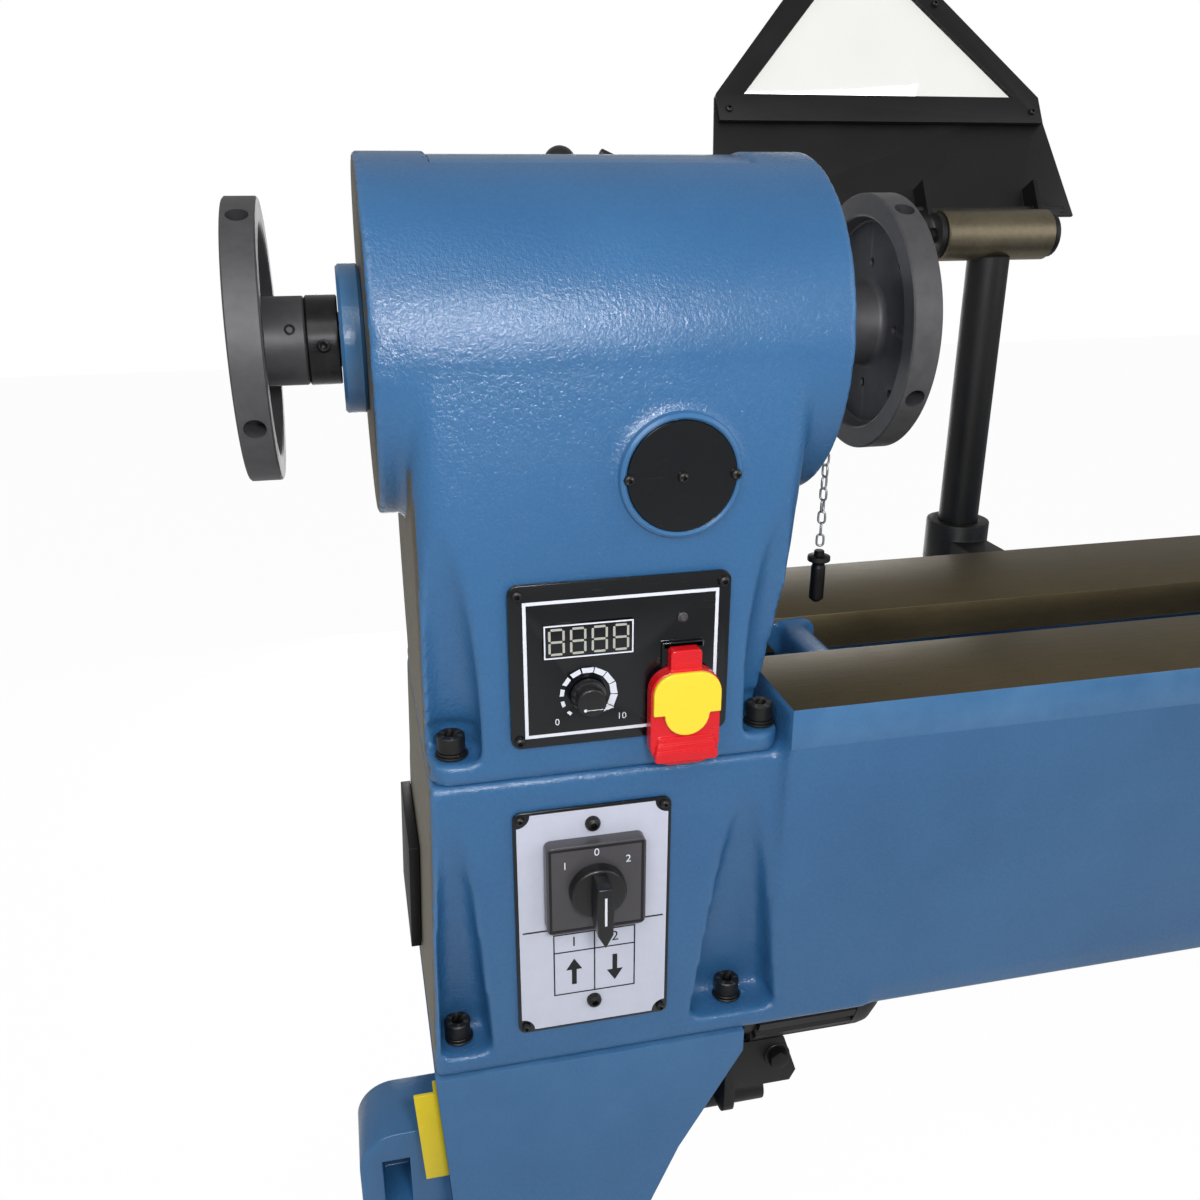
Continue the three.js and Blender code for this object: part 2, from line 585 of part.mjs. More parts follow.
// Levelling feet
const feetPlaces = [legCentreX, tailLegCentreX].flatMap((x) => [[x, -feetY], [x, feetY]]);
feetPlaces.forEach(([x, y], i) => {
  add(`levelling_foot_${i + 1}`, join(
    bar(point(x, y, 0), point(x, y, foot.padHeight - gap), foot.padRadius, foot.padRadius * 0.85),
    barZ(foot.padHeight - gap * 2, foot.padHeight + foot.studLength, x, y, foot.stud, coarse),
  ), finish.rubber);
});

// Socket-head bolts with spring washers
function socketBolt(x, y, seat) {
  const washerTop = seat + gap + bolt.washerThick;
  const shape = join(
    barZ(seat + gap, washerTop, x, y, bolt.washer, coarse),
    barZ(washerTop, washerTop + bolt.headHeight, x, y, bolt.head, coarse),
    barZ(seat - bolt.grip + head.footThick, washerTop, x, y, bolt.shank, coarse),
  );
  return cut(shape, barZ(washerTop + bolt.headHeight - bolt.socketDepth,
    washerTop + bolt.headHeight + overrun,
    x, y, bolt.socket, hexagon));
}
headBoltX.forEach((x, i) => {
  add(`headstock_bolt_${i + 1}`, socketBolt(x, -boltY, columnFoot), finish.blackSteel);
});

// Spindle, bearings and faceplates
const rearBearingX = spindle.shoulder + gap;
const frontBearingX = head.length - spindle.shoulder - spindle.bearingWidth - gap;
add('rear_bearing', ringX(rearBearingX, rearBearingX + spindle.bearingWidth, 0, spindleHeight,
  spindle.rearBearing, spindle.rearRadius + gap), finish.steel);
add('front_bearing', ringX(frontBearingX, frontBearingX + spindle.bearingWidth, 0, spindleHeight,
  spindle.frontBearing, spindle.frontRadius + gap), finish.steel);
add('outboard_bearing_cap', ringX(-spindle.capLength, -gap, 0, spindleHeight, spindle.capRadius,
  spindle.rearRadius + spindle.shoulder), finish.paint);

const collarLeft = -spindle.capLength - gap - spindle.collarLength;
const rearHubRight = collarLeft - gap;
const rearPlateInner = rearHubRight - faceplate.rearHub;
const noseRight = head.length + gap + spindle.noseLength;
const frontHubLeft = noseRight + gap;
const frontPlateInner = frontHubLeft + faceplate.frontHub;
const shaftLeft = rearPlateInner - faceplate.thick + faceplate.dish;
const shaftRight = frontPlateInner + faceplate.thick - faceplate.dish;
add('spindle_shaft', turnedX([
  [shaftLeft, 0], [shaftLeft, spindle.rearRadius],
  [frontBearingX - spindle.bearingWidth, spindle.rearRadius],
  [frontBearingX - spindle.bearingWidth, spindle.frontRadius],
  [frontBearingX + spindle.bearingWidth + gap, spindle.frontRadius],
  [frontBearingX + spindle.bearingWidth + gap, spindle.noseRadius], [noseRight, spindle.noseRadius],
  [noseRight, spindle.threadRadius], [shaftRight, spindle.threadRadius], [shaftRight, 0],
], 0, spindleHeight, medium), finish.steel);
add('lock_collar', cut(
  ringX(collarLeft, collarLeft + spindle.collarLength, 0, spindleHeight, spindle.collarRadius,
    spindle.rearRadius + gap),
  bar(point(collarLeft + spindle.collarLength / 2, -spindle.collarRadius * 1.1, spindleHeight),
    point(collarLeft + spindle.collarLength / 2, -spindle.rearRadius - spindle.shoulder, spindleHeight),
    spindle.collarSocket, spindle.collarSocket, hexagon),
), finish.blackSteel);

// A faceplate whose hub starts at hubEnd and whose dished side faces it.
// Facing is +1 when its face looks to +X.
function faceplateSolid(hubEnd, hubLength, bore, facing) {
  const at = (distance) => hubEnd + facing * distance;
  const inner = hubLength;
  const face = hubLength + faceplate.thick;
  const profile = [
    [at(0), bore], [at(0), faceplate.hubRadius], [at(inner + faceplate.dish), faceplate.hubRadius],
    [at(inner + faceplate.dish), faceplate.radius - faceplate.rim],
    [at(inner), faceplate.radius - faceplate.rim],
    [at(inner), faceplate.radius], [at(face), faceplate.radius], [at(face), bore], [at(0), bore],
  ];
  const disc = turnedX(profile, 0, spindleHeight, plateSides);
  const middle = at(inner + faceplate.thick / 2);
  const tommy = Array.from({ length: faceplate.tommyHoles }, (_, i) => {
    const angle = turn * (i + 0.3) / faceplate.tommyHoles;
    const ray = point(0, Math.cos(angle), Math.sin(angle));
    const start = along(point(middle, 0, spindleHeight), ray, faceplate.radius - faceplate.tommyDepth);
    return bar(start, along(start, ray, faceplate.tommyDepth + overrun), faceplate.tommyRadius,
      faceplate.tommyRadius, coarse);
  });
  const screws = [faceplate.innerRing, faceplate.outerRing].flatMap((ring, row) => (
    Array.from({ length: faceplate.ringHoles }, (_, i) => {
      const angle = turn * (i + row / 2) / faceplate.ringHoles;
      return barX(Math.min(at(inner), at(face)) - overrun, Math.max(at(inner), at(face)) + overrun,
        ring * Math.cos(angle), spindleHeight + ring * Math.sin(angle), faceplate.screwHole, hexagon);
    })));
  return cut(disc, ...tommy, ...screws);
}
add('outboard_faceplate', faceplateSolid(rearHubRight, faceplate.rearHub, spindle.rearRadius + gap, -1),
  finish.phosphate);
add('inboard_faceplate', faceplateSolid(frontHubLeft, faceplate.frontHub, spindle.threadRadius + gap, 1),
  finish.phosphate);

// Two-step ribbed pulleys and the belt on the low-speed steps
function pulleyProfile(steps, bore) {
  const places = [[drive.left, bore], [drive.left, steps[0] + drive.flangeRise]];
  let x = drive.left + drive.flange;
  places.push([x, steps[0] + drive.flangeRise]);
  steps.forEach((radius) => {
    const pitch = drive.stepWidth / drive.grooves;
    for (let i = 0; i < drive.grooves; i += 1) {
      places.push([x, radius], [x + pitch / 2, radius - drive.grooveDepth]);
      x += pitch;
    }
    places.push([x, radius]);
  });
  const rise = steps[steps.length - 1] + drive.flangeRise;
  places.push([x, rise], [x + drive.flange, rise], [x + drive.flange, bore], [drive.left, bore]);
  return places;
}
add('spindle_pulley', turnedX(pulleyProfile([drive.spindleLow, drive.spindleHigh],
  spindle.rearRadius + gap), 0,
  spindleHeight, medium), finish.steel);

// Round both pulleys, meeting each on its tangents
function beltOutline(offset) {
  const large = drive.spindleLow + offset;
  const small = drive.motorLow + offset;
  const lean = Math.asin((large - small) / drive.centres);
  const path = new THREE.Path();
  path.absarc(0, spindleHeight, large, -lean, Math.PI + lean, false);
  path.absarc(0, motorZ, small, Math.PI + lean, turn - lean, false);
  path.closePath();
  return path.getPoints(beltSteps);
}
const beltShape = new THREE.Shape(beltOutline(gap + drive.beltThick));
beltShape.holes.push(new THREE.Path(beltOutline(gap)));
const beltLeft = drive.left + drive.flange + (drive.stepWidth - drive.beltWidth) / 2;
add('drive_belt', prismX(beltShape, beltLeft, beltLeft + drive.beltWidth), finish.rubber);

// Motor, its shaft and pulley, and the hinged plate that tensions the belt
const plateShape = roundedOutline(-motor.plateHalf, motor.plateHalf, motorZ - motor.plateBelow,
  motorZ + motor.plateAbove,
  motor.plateCorner);
const lugShape = outline([
  [plateLeft + gap, motorZ - motor.lugLow], [motor.lugRight - motor.lugCorner / 2, motorZ - motor.lugLow],
  [motor.lugRight, motorZ - motor.lugLow + motor.lugCorner],
  [motor.lugNarrow, motorZ - motor.lugTop], [plateLeft + gap, motorZ - motor.lugTop],
]);
const gripZ = motorZ - motor.gripDrop;
add('motor_plate', cut(
  join(
    prismX(plateShape, plateLeft, plateRight),
    prismY(lugShape, motor.lugY - motor.lugHalf, motor.lugY + motor.lugHalf),
    barX(plateLeft, plateRight, motor.pivotY, motorZ, motor.pivotBoss),
    block(plateLeft, plateRight, 0, motor.pivotY, motorZ - motor.pivotBoss, motorZ + motor.pivotBoss / 2),
    barX(motor.gripLeft, motor.gripRight, motor.lugY, gripZ, motor.gripRadius),
  ),
  barX(plateLeft - overrun, plateRight + overrun, motor.pivotY, motorZ, motor.pivotRadius + gap),
  barX(plateLeft - overrun, plateRight + overrun, 0, motorZ, motor.shaftHole),
  barX(plateRight + gap, motor.lugRight + overrun, 0, motorZ, motor.radius + gap * 4, fine),
), finish.blackSteel);

const motorLeft = plateRight + gap;
const finLeft = motorLeft + motor.bellLength;
const finRight = finLeft + motor.bodyLength;
const finPlaces = Array.from({ length: motor.fins }, (_, i) => [0, 0.5, 0.5, 1].map((share, corner) => {
  const angle = turn * (i + share) / motor.fins;
  const radius = motor.radius + (corner < 2 ? motor.finRise : 0) - motor.finRise;
  return [radius * Math.cos(angle), motorZ + radius * Math.sin(angle)];
})).flat();
const finned = prismX(outline(finPlaces), finLeft, finRight);
const driveBell = turnedX([
  [motorLeft, motor.shaftHole], [finLeft + overrun, motor.shaftHole],
  [finLeft + overrun, motor.radius - motor.finRise],
  [motorLeft + motor.bellLength / 2, motor.radius - motor.finRise], [motorLeft, motor.radius * 0.8],
  [motorLeft, motor.shaftHole],
], 0, motorZ, medium);
const terminalBox = block(finLeft + motor.boxLeft, finLeft + motor.boxLeft + motor.boxLength,
  motor.radius / 2, motor.boxRear,
  motorZ - motor.boxHalf, motorZ + motor.boxHalf);
const shaftRoom = barX(motorLeft - overrun, finLeft + overrun * 2 + motor.bellLength, 0, motorZ,
  motor.shaftHole, medium);
add('motor_body', cut(join(finned, driveBell, terminalBox), shaftRoom), finish.blackSteel);
add('motor_fan_cover', turnedX([
  [finRight + gap, 0], [finRight + gap, motor.radius],
  [finRight + gap + motor.coverLength * 0.3, motor.radius],
  [finRight + gap + motor.coverLength * 0.7, motor.radius * 0.94],
  [finRight + gap + motor.coverLength, motor.radius * 0.72], [finRight + gap + motor.coverLength, 0],
], 0, motorZ, medium), finish.blackSteel);
add('motor_pulley', join(
  turnedX(pulleyProfile([drive.motorLow, drive.motorHigh], motor.shaft - gap), 0, motorZ, medium),
  barX(drive.left - drive.flange, finLeft + motor.bellLength, 0, motorZ, motor.shaft, medium),
), finish.steel);

// Places on the front of the column, measured from the panel's top left corner
const panelTopZ = spindleHeight - panel.top;
function onFront(solid) {
  return solid.translate([panel.left, -head.footDepth, panelTopZ]);
}
// In panel places x runs right, z runs down from the corner and y runs out of the face
function panelBlock(x0, x1, z0, z1, out0, out1) {
  return block(x0, x1, -out1, -out0, -z1, -z0);
}
const panelFace = gap + panel.thick;
const panelShape = roundedOutline(0, panel.width, -panel.height, 0, panel.corner);
const housingFace = panelFace + paddle.housingDepth;
add('control_panel', onFront(cut(
  join(prismY(panelShape, -panelFace, -gap), panelBlock(paddle.x - paddle.housingWidth / 2,
    paddle.x + paddle.housingWidth / 2, paddle.housingTop, paddle.housingTop + paddle.housingHeight,
    gap * 2,
    housingFace)),
  barY(-panelFace - overrun, overrun, speedKnob.x, -speedKnob.z, speedKnob.stem + gap, coarse),
)), finish.panelBlack);
add('speed_display', onFront(panelBlock(display.x - display.width / 2, display.x + display.width / 2,
  display.z - display.height / 2, display.z + display.height / 2, panelFace + gap,
    panelFace + gap + display.depth)),
finish.blackPlastic);
const knobBase = panelFace + gap;
add('speed_knob', onFront(join(
  bar(point(speedKnob.x, -knobBase, -speedKnob.z),
    point(speedKnob.x, -knobBase - speedKnob.height / 3, -speedKnob.z),
    speedKnob.skirt, speedKnob.radius, medium),
  barY(-knobBase - speedKnob.height, -knobBase, speedKnob.x, -speedKnob.z, speedKnob.radius, medium),
  barY(-knobBase, -gap * 2, speedKnob.x, -speedKnob.z, speedKnob.stem, coarse),
)), finish.blackPlastic);

// Stop switch: a red paddle hinged at its top edge on the panel's housing, with a yellow key plate
const paddleInner = housingFace + gap;
const paddleOuter = paddleInner + paddle.depth;
const paddleTab = roundedOutline(paddle.x - paddle.tabWidth / 2, paddle.x + paddle.tabWidth / 2,
  -paddle.shoulder - paddle.corner, -paddle.tabTop, paddle.corner / 5);
const paddleBody = roundedOutline(paddle.x - paddle.width / 2, paddle.x + paddle.width / 2, -paddle.bottom,
  -paddle.shoulder, paddle.corner);
const keyBody = roundedOutline(paddle.x - paddle.keyWidth / 2, paddle.x + paddle.keyWidth / 2,
  -paddle.keyBottom - paddle.corner, -paddle.shoulder, paddle.corner);
const lipRows = Array.from({ length: paddle.lips }, (_, i) => prismY(
  roundedOutline(paddle.x - paddle.keyWidth / 2 + paddle.lips - i,
    paddle.x + paddle.keyWidth / 2 - paddle.lips + i,
    -paddle.bottom + (paddle.lips - i) * paddle.lipHeight,
    -paddle.bottom + (paddle.lips - i + 1.6) * paddle.lipHeight,
    paddle.lipHeight / 2),
  -paddleOuter - paddle.lipDepth * (i + 1) / paddle.lips, -paddleOuter + gap));
add('stop_paddle', onFront(join(
  prismY(paddleTab, -paddleOuter + gap * 4, -paddleInner),
  prismY(paddleBody, -paddleOuter, -paddleInner),
  ...lipRows,
)), finish.red);
const keyInner = paddleOuter + gap;
const keyPlate = join(
  prismY(keyBody, -keyInner - paddle.keyDepth, -keyInner).intersect(
    panelBlock(0, panel.width, paddle.shoulder, paddle.keyBottom, keyInner - overrun, keyInner + overrun)),
  barY(-keyInner - paddle.keyDepth, -keyInner, paddle.x, -paddle.keyBottom, paddle.keyDisc, medium),
);
add('paddle_key', onFront(cut(keyPlate, ...lipRows.map((row) => row.translate([0, 0, gap])))),
  finish.yellow);

// Label plate and selector switch on the end of the bed
const labelTopZ = spindleHeight - label.top;
const labelBack = -head.footDepth - gap;
const labelFront = labelBack - label.thick;
const switchX = label.left + selector.across;
const switchZ = labelTopZ - selector.drop;
add('label_plate', prismY(roundedOutline(label.left, label.left + label.width, labelTopZ - label.height,
  labelTopZ,
  label.corner), labelFront, labelBack), finish.labelWhite);
const selectorBack = labelFront - gap;
const selectorFront = selectorBack - selector.plateThick;
add('selector_base', cut(
  prismY(roundedOutline(switchX - selector.plate / 2, switchX + selector.plate / 2,
    switchZ - selector.plate / 2,
    switchZ + selector.plate / 2, selector.corner), selectorFront, selectorBack),
  barY(selectorFront - overrun, selectorBack + overrun, switchX, switchZ, speedKnob.stem + gap, coarse),
), finish.greyPlastic);
const gripOutline = roundedOutline(switchX - selector.gripWidth / 2, switchX + selector.gripWidth / 2,
  switchZ - selector.gripLength * 0.62, switchZ + selector.gripLength * 0.38, selector.gripWidth / 3);
add('selector_knob', join(
  barY(selectorFront - gap - selector.gripRise, selectorFront - gap, switchX, switchZ,
    selector.knobRadius, medium),
  prismY(gripOutline, selectorFront - gap - selector.knobHeight,
    selectorFront - gap - selector.gripRise / 2),
  barY(selectorFront - gap * 2, selectorBack + selector.plateThick / 3 - overrun / 2, switchX, switchZ,
    speedKnob.stem, coarse),
), finish.blackPlastic);

// Inspection cover
add('inspection_cover', bar(along(inspectionSeat, inspectionOut, gap),
  along(inspectionSeat, inspectionOut, gap + inspection.thick), inspection.radius, inspection.radius,
    fine), finish.blackSteel);

// Belt cover with its knob and latch
const coverOuter = head.radius - cover.sink;
const hingeAngle = Math.asin((cover.rear - gap) / coverOuter);
const coverReach = head.radius + overrun;
// The sheet's rear end is cut along the radius, so that it clears the barrel when it opens
const coverSector = outline([
  [cover.front + gap, barrelZ], [0, barrelZ],
  [coverReach * Math.sin(hingeAngle), barrelZ + coverReach * Math.cos(hingeAngle)],
  [coverReach * Math.sin(hingeAngle), barrelZ + coverReach], [cover.front + gap, barrelZ + coverReach],
]);
const coverSheet = cut(
  barX(cover.left + gap, coverRight - gap, 0, barrelZ, coverOuter, barrelSides),
  barX(0, head.length, 0, barrelZ, coverOuter - cover.thick, barrelSides),
).intersect(prismX(coverSector, cover.left, coverRight));
add('belt_cover', coverSheet, finish.paint);
const knobAngle = Math.asin(cover.knobY / coverOuter);
const knobOut = point(0, Math.sin(knobAngle), Math.cos(knobAngle));
const knobSeat = along(point(coverRight - cover.knobIn, 0, barrelZ), knobOut, coverOuter + gap);
const knobTop = along(knobSeat, knobOut, cover.knobLift + cover.knobRadius);
add('cover_knob', join(bar(knobSeat, knobTop, cover.knobStem, cover.knobStem, coarse),
  ball(knobTop.x, knobTop.y, knobTop.z, cover.knobRadius, knobSides)), finish.blackPlastic);
const latchSeat = along(point(coverRight - cover.latchIn, 0, barrelZ), knobOut, coverOuter + gap);
const latchTop = along(latchSeat, knobOut, cover.knobStem);
const latchTip = latchTop.clone().add(point(-cover.latchLength * 0.8, 0, cover.latchLength * 0.4));
add('cover_latch', join(bar(latchSeat, along(latchTop, knobOut, cover.knobStem), cover.knobStem * 1.5,
  cover.knobStem * 1.5, coarse),
  bar(latchTop, latchTip, cover.knobStem, cover.knobStem * 0.7, coarse)), finish.blackPlastic);

// Locking pin on its chain, hanging from an eye in the barrel's right end
function linkLoop(width, length, wire, sides = 4) {
  const straight = (length - width) / 2;
  const corners = 3;
  const places = [];
  for (let end = 0; end < 2; end += 1) {
    for (let i = 0; i <= corners; i += 1) {
      const angle = Math.PI * end + Math.PI * i / corners;
      places.push(point(width / 2 * Math.cos(angle), 0,
        (end ? -straight : straight) + width / 2 * Math.sin(angle)));
    }
  }
  const curve = new THREE.CatmullRomCurve3(places, true, 'centripetal');
  const section = new THREE.Shape(Array.from({ length: sides }, (_, i) => (
    new THREE.Vector2(wire * Math.cos(turn * i / sides), wire * Math.sin(turn * i / sides)))));
  const count = coarse;
  const frames = curve.computeFrenetFrames(count, true);
  const ring = [];
  const faces = [];
  for (let i = 0; i < count; i += 1) {
    const at = curve.getPointAt(i / count);
    section.getPoints().slice(0, sides).forEach((p) => {
      ring.push(at.clone().addScaledVector(frames.normals[i], p.x).addScaledVector(frames.binormals[i],
        p.y));
    });
  }
  for (let i = 0; i < count; i += 1) {
    for (let j = 0; j < sides; j += 1) {
      const a = i * sides + j;
      const b = i * sides + (j + 1) % sides;
      const c = ((i + 1) % count) * sides + (j + 1) % sides;
      const d = ((i + 1) % count) * sides + j;
      faces.push(a, b, c, a, c, d);
    }
  }
  const geometry = new THREE.BufferGeometry().setFromPoints(ring);
  geometry.setIndex(faces);
  const solid = solidOf(geometry);
  return solid.volume() < 0 ? solidOf(flipped(geometry)) : solid;
}
const linkLength = chain.pitch + chain.wire * 1.5;
const chainTop = eyeZ - chain.eyeRadius + chain.eyeWire + chain.wire + gap * 1.5;
const chainLinks = Array.from({ length: chain.links }, (_, i) => (
  linkLoop(chain.linkWidth, linkLength, chain.wire).rotate([0, 0, i % 2 ? 0 : 90])
    .translate([chainX, chain.y, chainTop - linkLength / 2 - i * chain.pitch])));
const pinTop = chainTop - linkLength - (chain.links - 1) * chain.pitch - chain.wire;
add('lock_chain', join(...chainLinks), finish.steel);
add('lock_pin', join(
  barZ(pinTop - gap - chain.pinLength, pinTop - gap, chainX, chain.y, chain.pinRadius, coarse),
  barZ(pinTop - gap - chain.pinHead / 2, pinTop - gap, chainX, chain.y, chain.pinHead, coarse),
  ball(chainX, chain.y, pinTop - gap - chain.pinLength, chain.pinRadius),
), finish.phosphate);

// Guard on its post behind the bed
const guardPivotZ = spindleHeight + guard.pivotZ;
const guardTubeRight = guard.tubeLeft + guard.tubeLength;
const postX = guard.tubeLeft + guard.tubeLength / 2;
const postFoot = waysHeight - bed.wayThick;
add('guard_bracket', cut(
  join(
    block(postX - guard.postRadius * 2, postX + guard.postRadius * 2, bed.rearWidth + gap,
      bed.rearWidth + gap + guard.footPlate,
      waysHeight - bed.wayThick, waysHeight - bed.wayThick / 4),
    block(postX - guard.postRadius, postX + guard.postRadius, bed.rearWidth + guard.footPlate / 2,
      guard.pivotY,
      postFoot - guard.footPlate, postFoot + guard.footPlate),
    barZ(postFoot - guard.footPlate, postFoot + guard.lift, postX, guard.pivotY, guard.postRadius * 1.6),
  ),
  barZ(postFoot, postFoot + guard.lift + overrun, postX, guard.pivotY, guard.postRadius + gap),
), finish.blackSteel);
add('guard_post', join(
  barZ(postFoot + gap, guardPivotZ, postX, guard.pivotY, guard.postRadius),
  barX(guard.tubeLeft, guardTubeRight, guard.pivotY, guardPivotZ, guard.tubeRadius),
  barX(guard.tubeLeft - guard.earThick - overrun, guardTubeRight + guard.earThick + overrun, guard.pivotY,
    guardPivotZ,
    guard.rodRadius, coarse),
), finish.blackSteel);

// Guard pieces are drawn upright with the pivot at y = 0, z = 0 and then leant back
function leanBack(solid) {
  return solid.rotate([-guard.lean * 360 / turn, 0, 0]).translate([0, guard.pivotY, guardPivotZ]);
}
const guardLeft = guard.centreX - guard.halfWidth;
const guardRight = guard.centreX + guard.halfWidth;
const panelTop = guard.lift + guard.panelHeight;
function gable(inset) {
  return [
    [guardLeft + inset, panelTop - guard.barWidth + inset],
    [guardRight - inset, panelTop - guard.barWidth + inset],
    [guardRight - inset, panelTop], [guard.centreX + guard.apexHalf - inset * 0.4,
    panelTop + guard.rise - inset],
    [guard.centreX - guard.apexHalf + inset * 0.4, panelTop + guard.rise - inset],
    [guardLeft + inset, panelTop],
  ];
}
const ears = [[guard.tubeLeft - gap - guard.earThick, guard.tubeLeft - gap],
  [guardTubeRight + gap, guardTubeRight + gap + guard.earThick]];
const earSolids = ears.map(([x0, x1]) => cut(
  join(barX(x0, x1, 0, 0, guard.earRadius, medium),
    block(x0, x1, 0, guard.earRadius, 0, guard.lift + guard.barWidth)),
  barX(x0 - overrun, x1 + overrun, 0, 0, guard.rodRadius + gap, coarse)));
add('guard_panel', leanBack(join(
  prismY(outline([
    [guardLeft - guard.flare, guard.lift], [guardRight + guard.flare, guard.lift], [guardRight, panelTop],
    [guardLeft, panelTop],
  ]), guard.earRadius, guard.earRadius + guard.sheet),
  block(guardLeft, guardRight, guard.earRadius - guard.barWidth / 2, guard.earRadius + guard.sheet,
    guard.lift,
    guard.lift + guard.sheet),
  ...earSolids,
)), finish.blackSteel);
const frameNear = guard.earRadius - gap;
add('guard_frame', leanBack(cut(
  prismY(outline(gable(0)), frameNear - guard.barThick, frameNear),
  prismY(outline(gable(guard.barWidth)), frameNear - guard.barThick - overrun, frameNear + overrun),
)), finish.blackSteel);
add('guard_window', leanBack(prismY(outline(gable(guard.barWidth / 3)), frameNear + gap + gap + guard.sheet,
  frameNear + gap + gap + guard.sheet + guard.windowThick)), finish.clear);

// Banjo: clamp below the ways, swivelling slide block, and the casting that carries the tool rest
const wayUnder = waysHeight - bed.wayThick;
const banjoTop = waysHeight + gap + banjo.thick;
add('banjo_clamp', join(
  block(banjo.x - banjo.plateLength / 2, banjo.x + banjo.plateLength / 2, -banjo.plateHalf, banjo.plateHalf,
    wayUnder - gap - banjo.plateThick, wayUnder - gap),
  block(banjo.x - banjo.plateLength / 3, banjo.x + banjo.plateLength / 3, -bed.slotHalf + gap * 2,
    bed.slotHalf - gap * 2,
    wayUnder - gap * 2, waysHeight - gap),
  barZ(waysHeight - gap * 2, banjoTop + banjo.ball, banjo.x, 0, banjo.studRadius, medium),
), finish.phosphate);
add('banjo_slide_block', cut(
  prismZ(roundedOutline(banjo.x - banjo.slotHalf + gap, banjo.x + banjo.slotHalf - gap, -banjo.block / 2,
    banjo.block / 2, banjo.slotHalf / 3),
    waysHeight + gap, banjoTop - gap),
  barZ(waysHeight, banjoTop + overrun, banjo.x, 0, banjo.studRadius + gap, medium),
), finish.steel);
const banjoShape = new THREE.Shape();
const bossY = -banjo.front + banjo.bossRadius;
banjoShape.moveTo(banjo.x - banjo.width / 2, banjo.rear);
banjoShape.lineTo(banjo.x - banjo.width / 2, -banjo.slotFront / 2);
banjoShape.lineTo(banjo.x - banjo.bossRadius, bossY);
banjoShape.absarc(banjo.x, bossY, banjo.bossRadius, Math.PI, turn, false);
banjoShape.lineTo(banjo.x + banjo.width / 2, -banjo.slotFront / 2);
banjoShape.lineTo(banjo.x + banjo.width / 2, banjo.rear);
banjoShape.holes.push(roundedOutline(banjo.x - banjo.slotHalf, banjo.x + banjo.slotHalf, -banjo.slotFront,
  banjo.slotRear,
  banjo.slotHalf / 2));
add('banjo', cut(join(
  prismZ(banjoShape, waysHeight + gap, banjoTop),
  barZ(banjoTop - overrun, waysHeight + banjo.bossHeight, banjo.x, bossY, banjo.bossRadius, medium),
), barZ(waysHeight, waysHeight + banjo.bossHeight + overrun, banjo.x, bossY, banjo.postRadius + gap,
  medium),
barX(banjo.x + banjo.postRadius, banjo.x + banjo.bossRadius * 2, bossY, banjoTop + banjo.ball * 1.5,
  banjo.leverRadius + gap, coarse)),
finish.paint);

const bossTop = waysHeight + banjo.bossHeight;
add('rest_collar', cut(
  barZ(bossTop + gap, bossTop + gap + banjo.collarHeight, banjo.x, bossY, banjo.collarRadius, medium),
  barZ(bossTop, bossTop + banjo.collarHeight + overrun, banjo.x, bossY, banjo.postRadius + gap, medium),
), finish.blackSteel);

// Levers: a hub on a stud, a slim arm and a ball
function ballLever(hub, hubRadius, arm, radius, knob) {
  return join(bar(hub[0], hub[1], hubRadius, hubRadius, coarse),
    bar(arm[0], arm[1], radius, radius * 0.8, coarse),
    ball(arm[1].x, arm[1].y, arm[1].z, knob));
}
const camZ = banjoTop + gap;
add('banjo_clamp_lever', cut(ballLever(
  [point(banjo.x, 0, camZ), point(banjo.x, 0, camZ + banjo.ball * 1.6)], banjo.studRadius * 2,
  [point(banjo.x, 0, camZ + banjo.ball), point(banjo.x + banjo.leverLength * 0.8, banjo.leverLength / 3,
  camZ + banjo.ball * 3)],
  banjo.leverRadius, banjo.ball,
), barZ(camZ - overrun, camZ + banjo.ball + overrun, banjo.x, 0, banjo.studRadius + gap, medium)),
  finish.blackSteel);
const postLockX = banjo.x + banjo.bossRadius;
const postLockZ = banjoTop + banjo.ball * 1.5;
add('rest_lock_lever', join(
  barX(banjo.x + banjo.postRadius + gap * 2, postLockX + banjo.ball, bossY, postLockZ, banjo.leverRadius,
    coarse),
  barX(postLockX + gap, postLockX + banjo.ball, bossY, postLockZ, banjo.leverRadius * 1.6, coarse),
  bar(point(postLockX + banjo.ball / 2, bossY, postLockZ),
    point(postLockX + banjo.ball, bossY - banjo.leverLength / 2, postLockZ + banjo.ball),
    banjo.leverRadius, banjo.leverRadius * 0.8, coarse),
  ball(postLockX + banjo.ball, bossY - banjo.leverLength / 2, postLockZ + banjo.ball, banjo.ball),
), finish.blackSteel);

// Tool rest on its post
const restTop = spindleHeight - rest.lip / 4;
const stemLow = waysHeight + gap + overrun + rest.drop;
const restSection = outline([
  [bossY - rest.bladeThick, restTop - rest.bladeHeight],
  [bossY + rest.bladeThick, restTop - rest.bladeHeight],
  [bossY + rest.bladeThick * 1.2, restTop - rest.bladeHeight * 0.7],
  [bossY + rest.bladeThick * 0.6 + rest.reach, restTop - rest.lip / 4],
  [bossY + rest.bladeThick * 0.3 + rest.reach, restTop],
  [bossY - rest.bladeThick * 0.4 + rest.reach, restTop],
  [bossY - rest.bladeThick * 0.6, restTop - rest.bladeHeight * 0.55],
]);
add('tool_rest', join(
  prismX(restSection, banjo.x - rest.length / 2, banjo.x + rest.length / 2),
  barZ(stemLow, restTop - rest.bladeHeight / 2, banjo.x, bossY, banjo.postRadius),
), finish.phosphate);

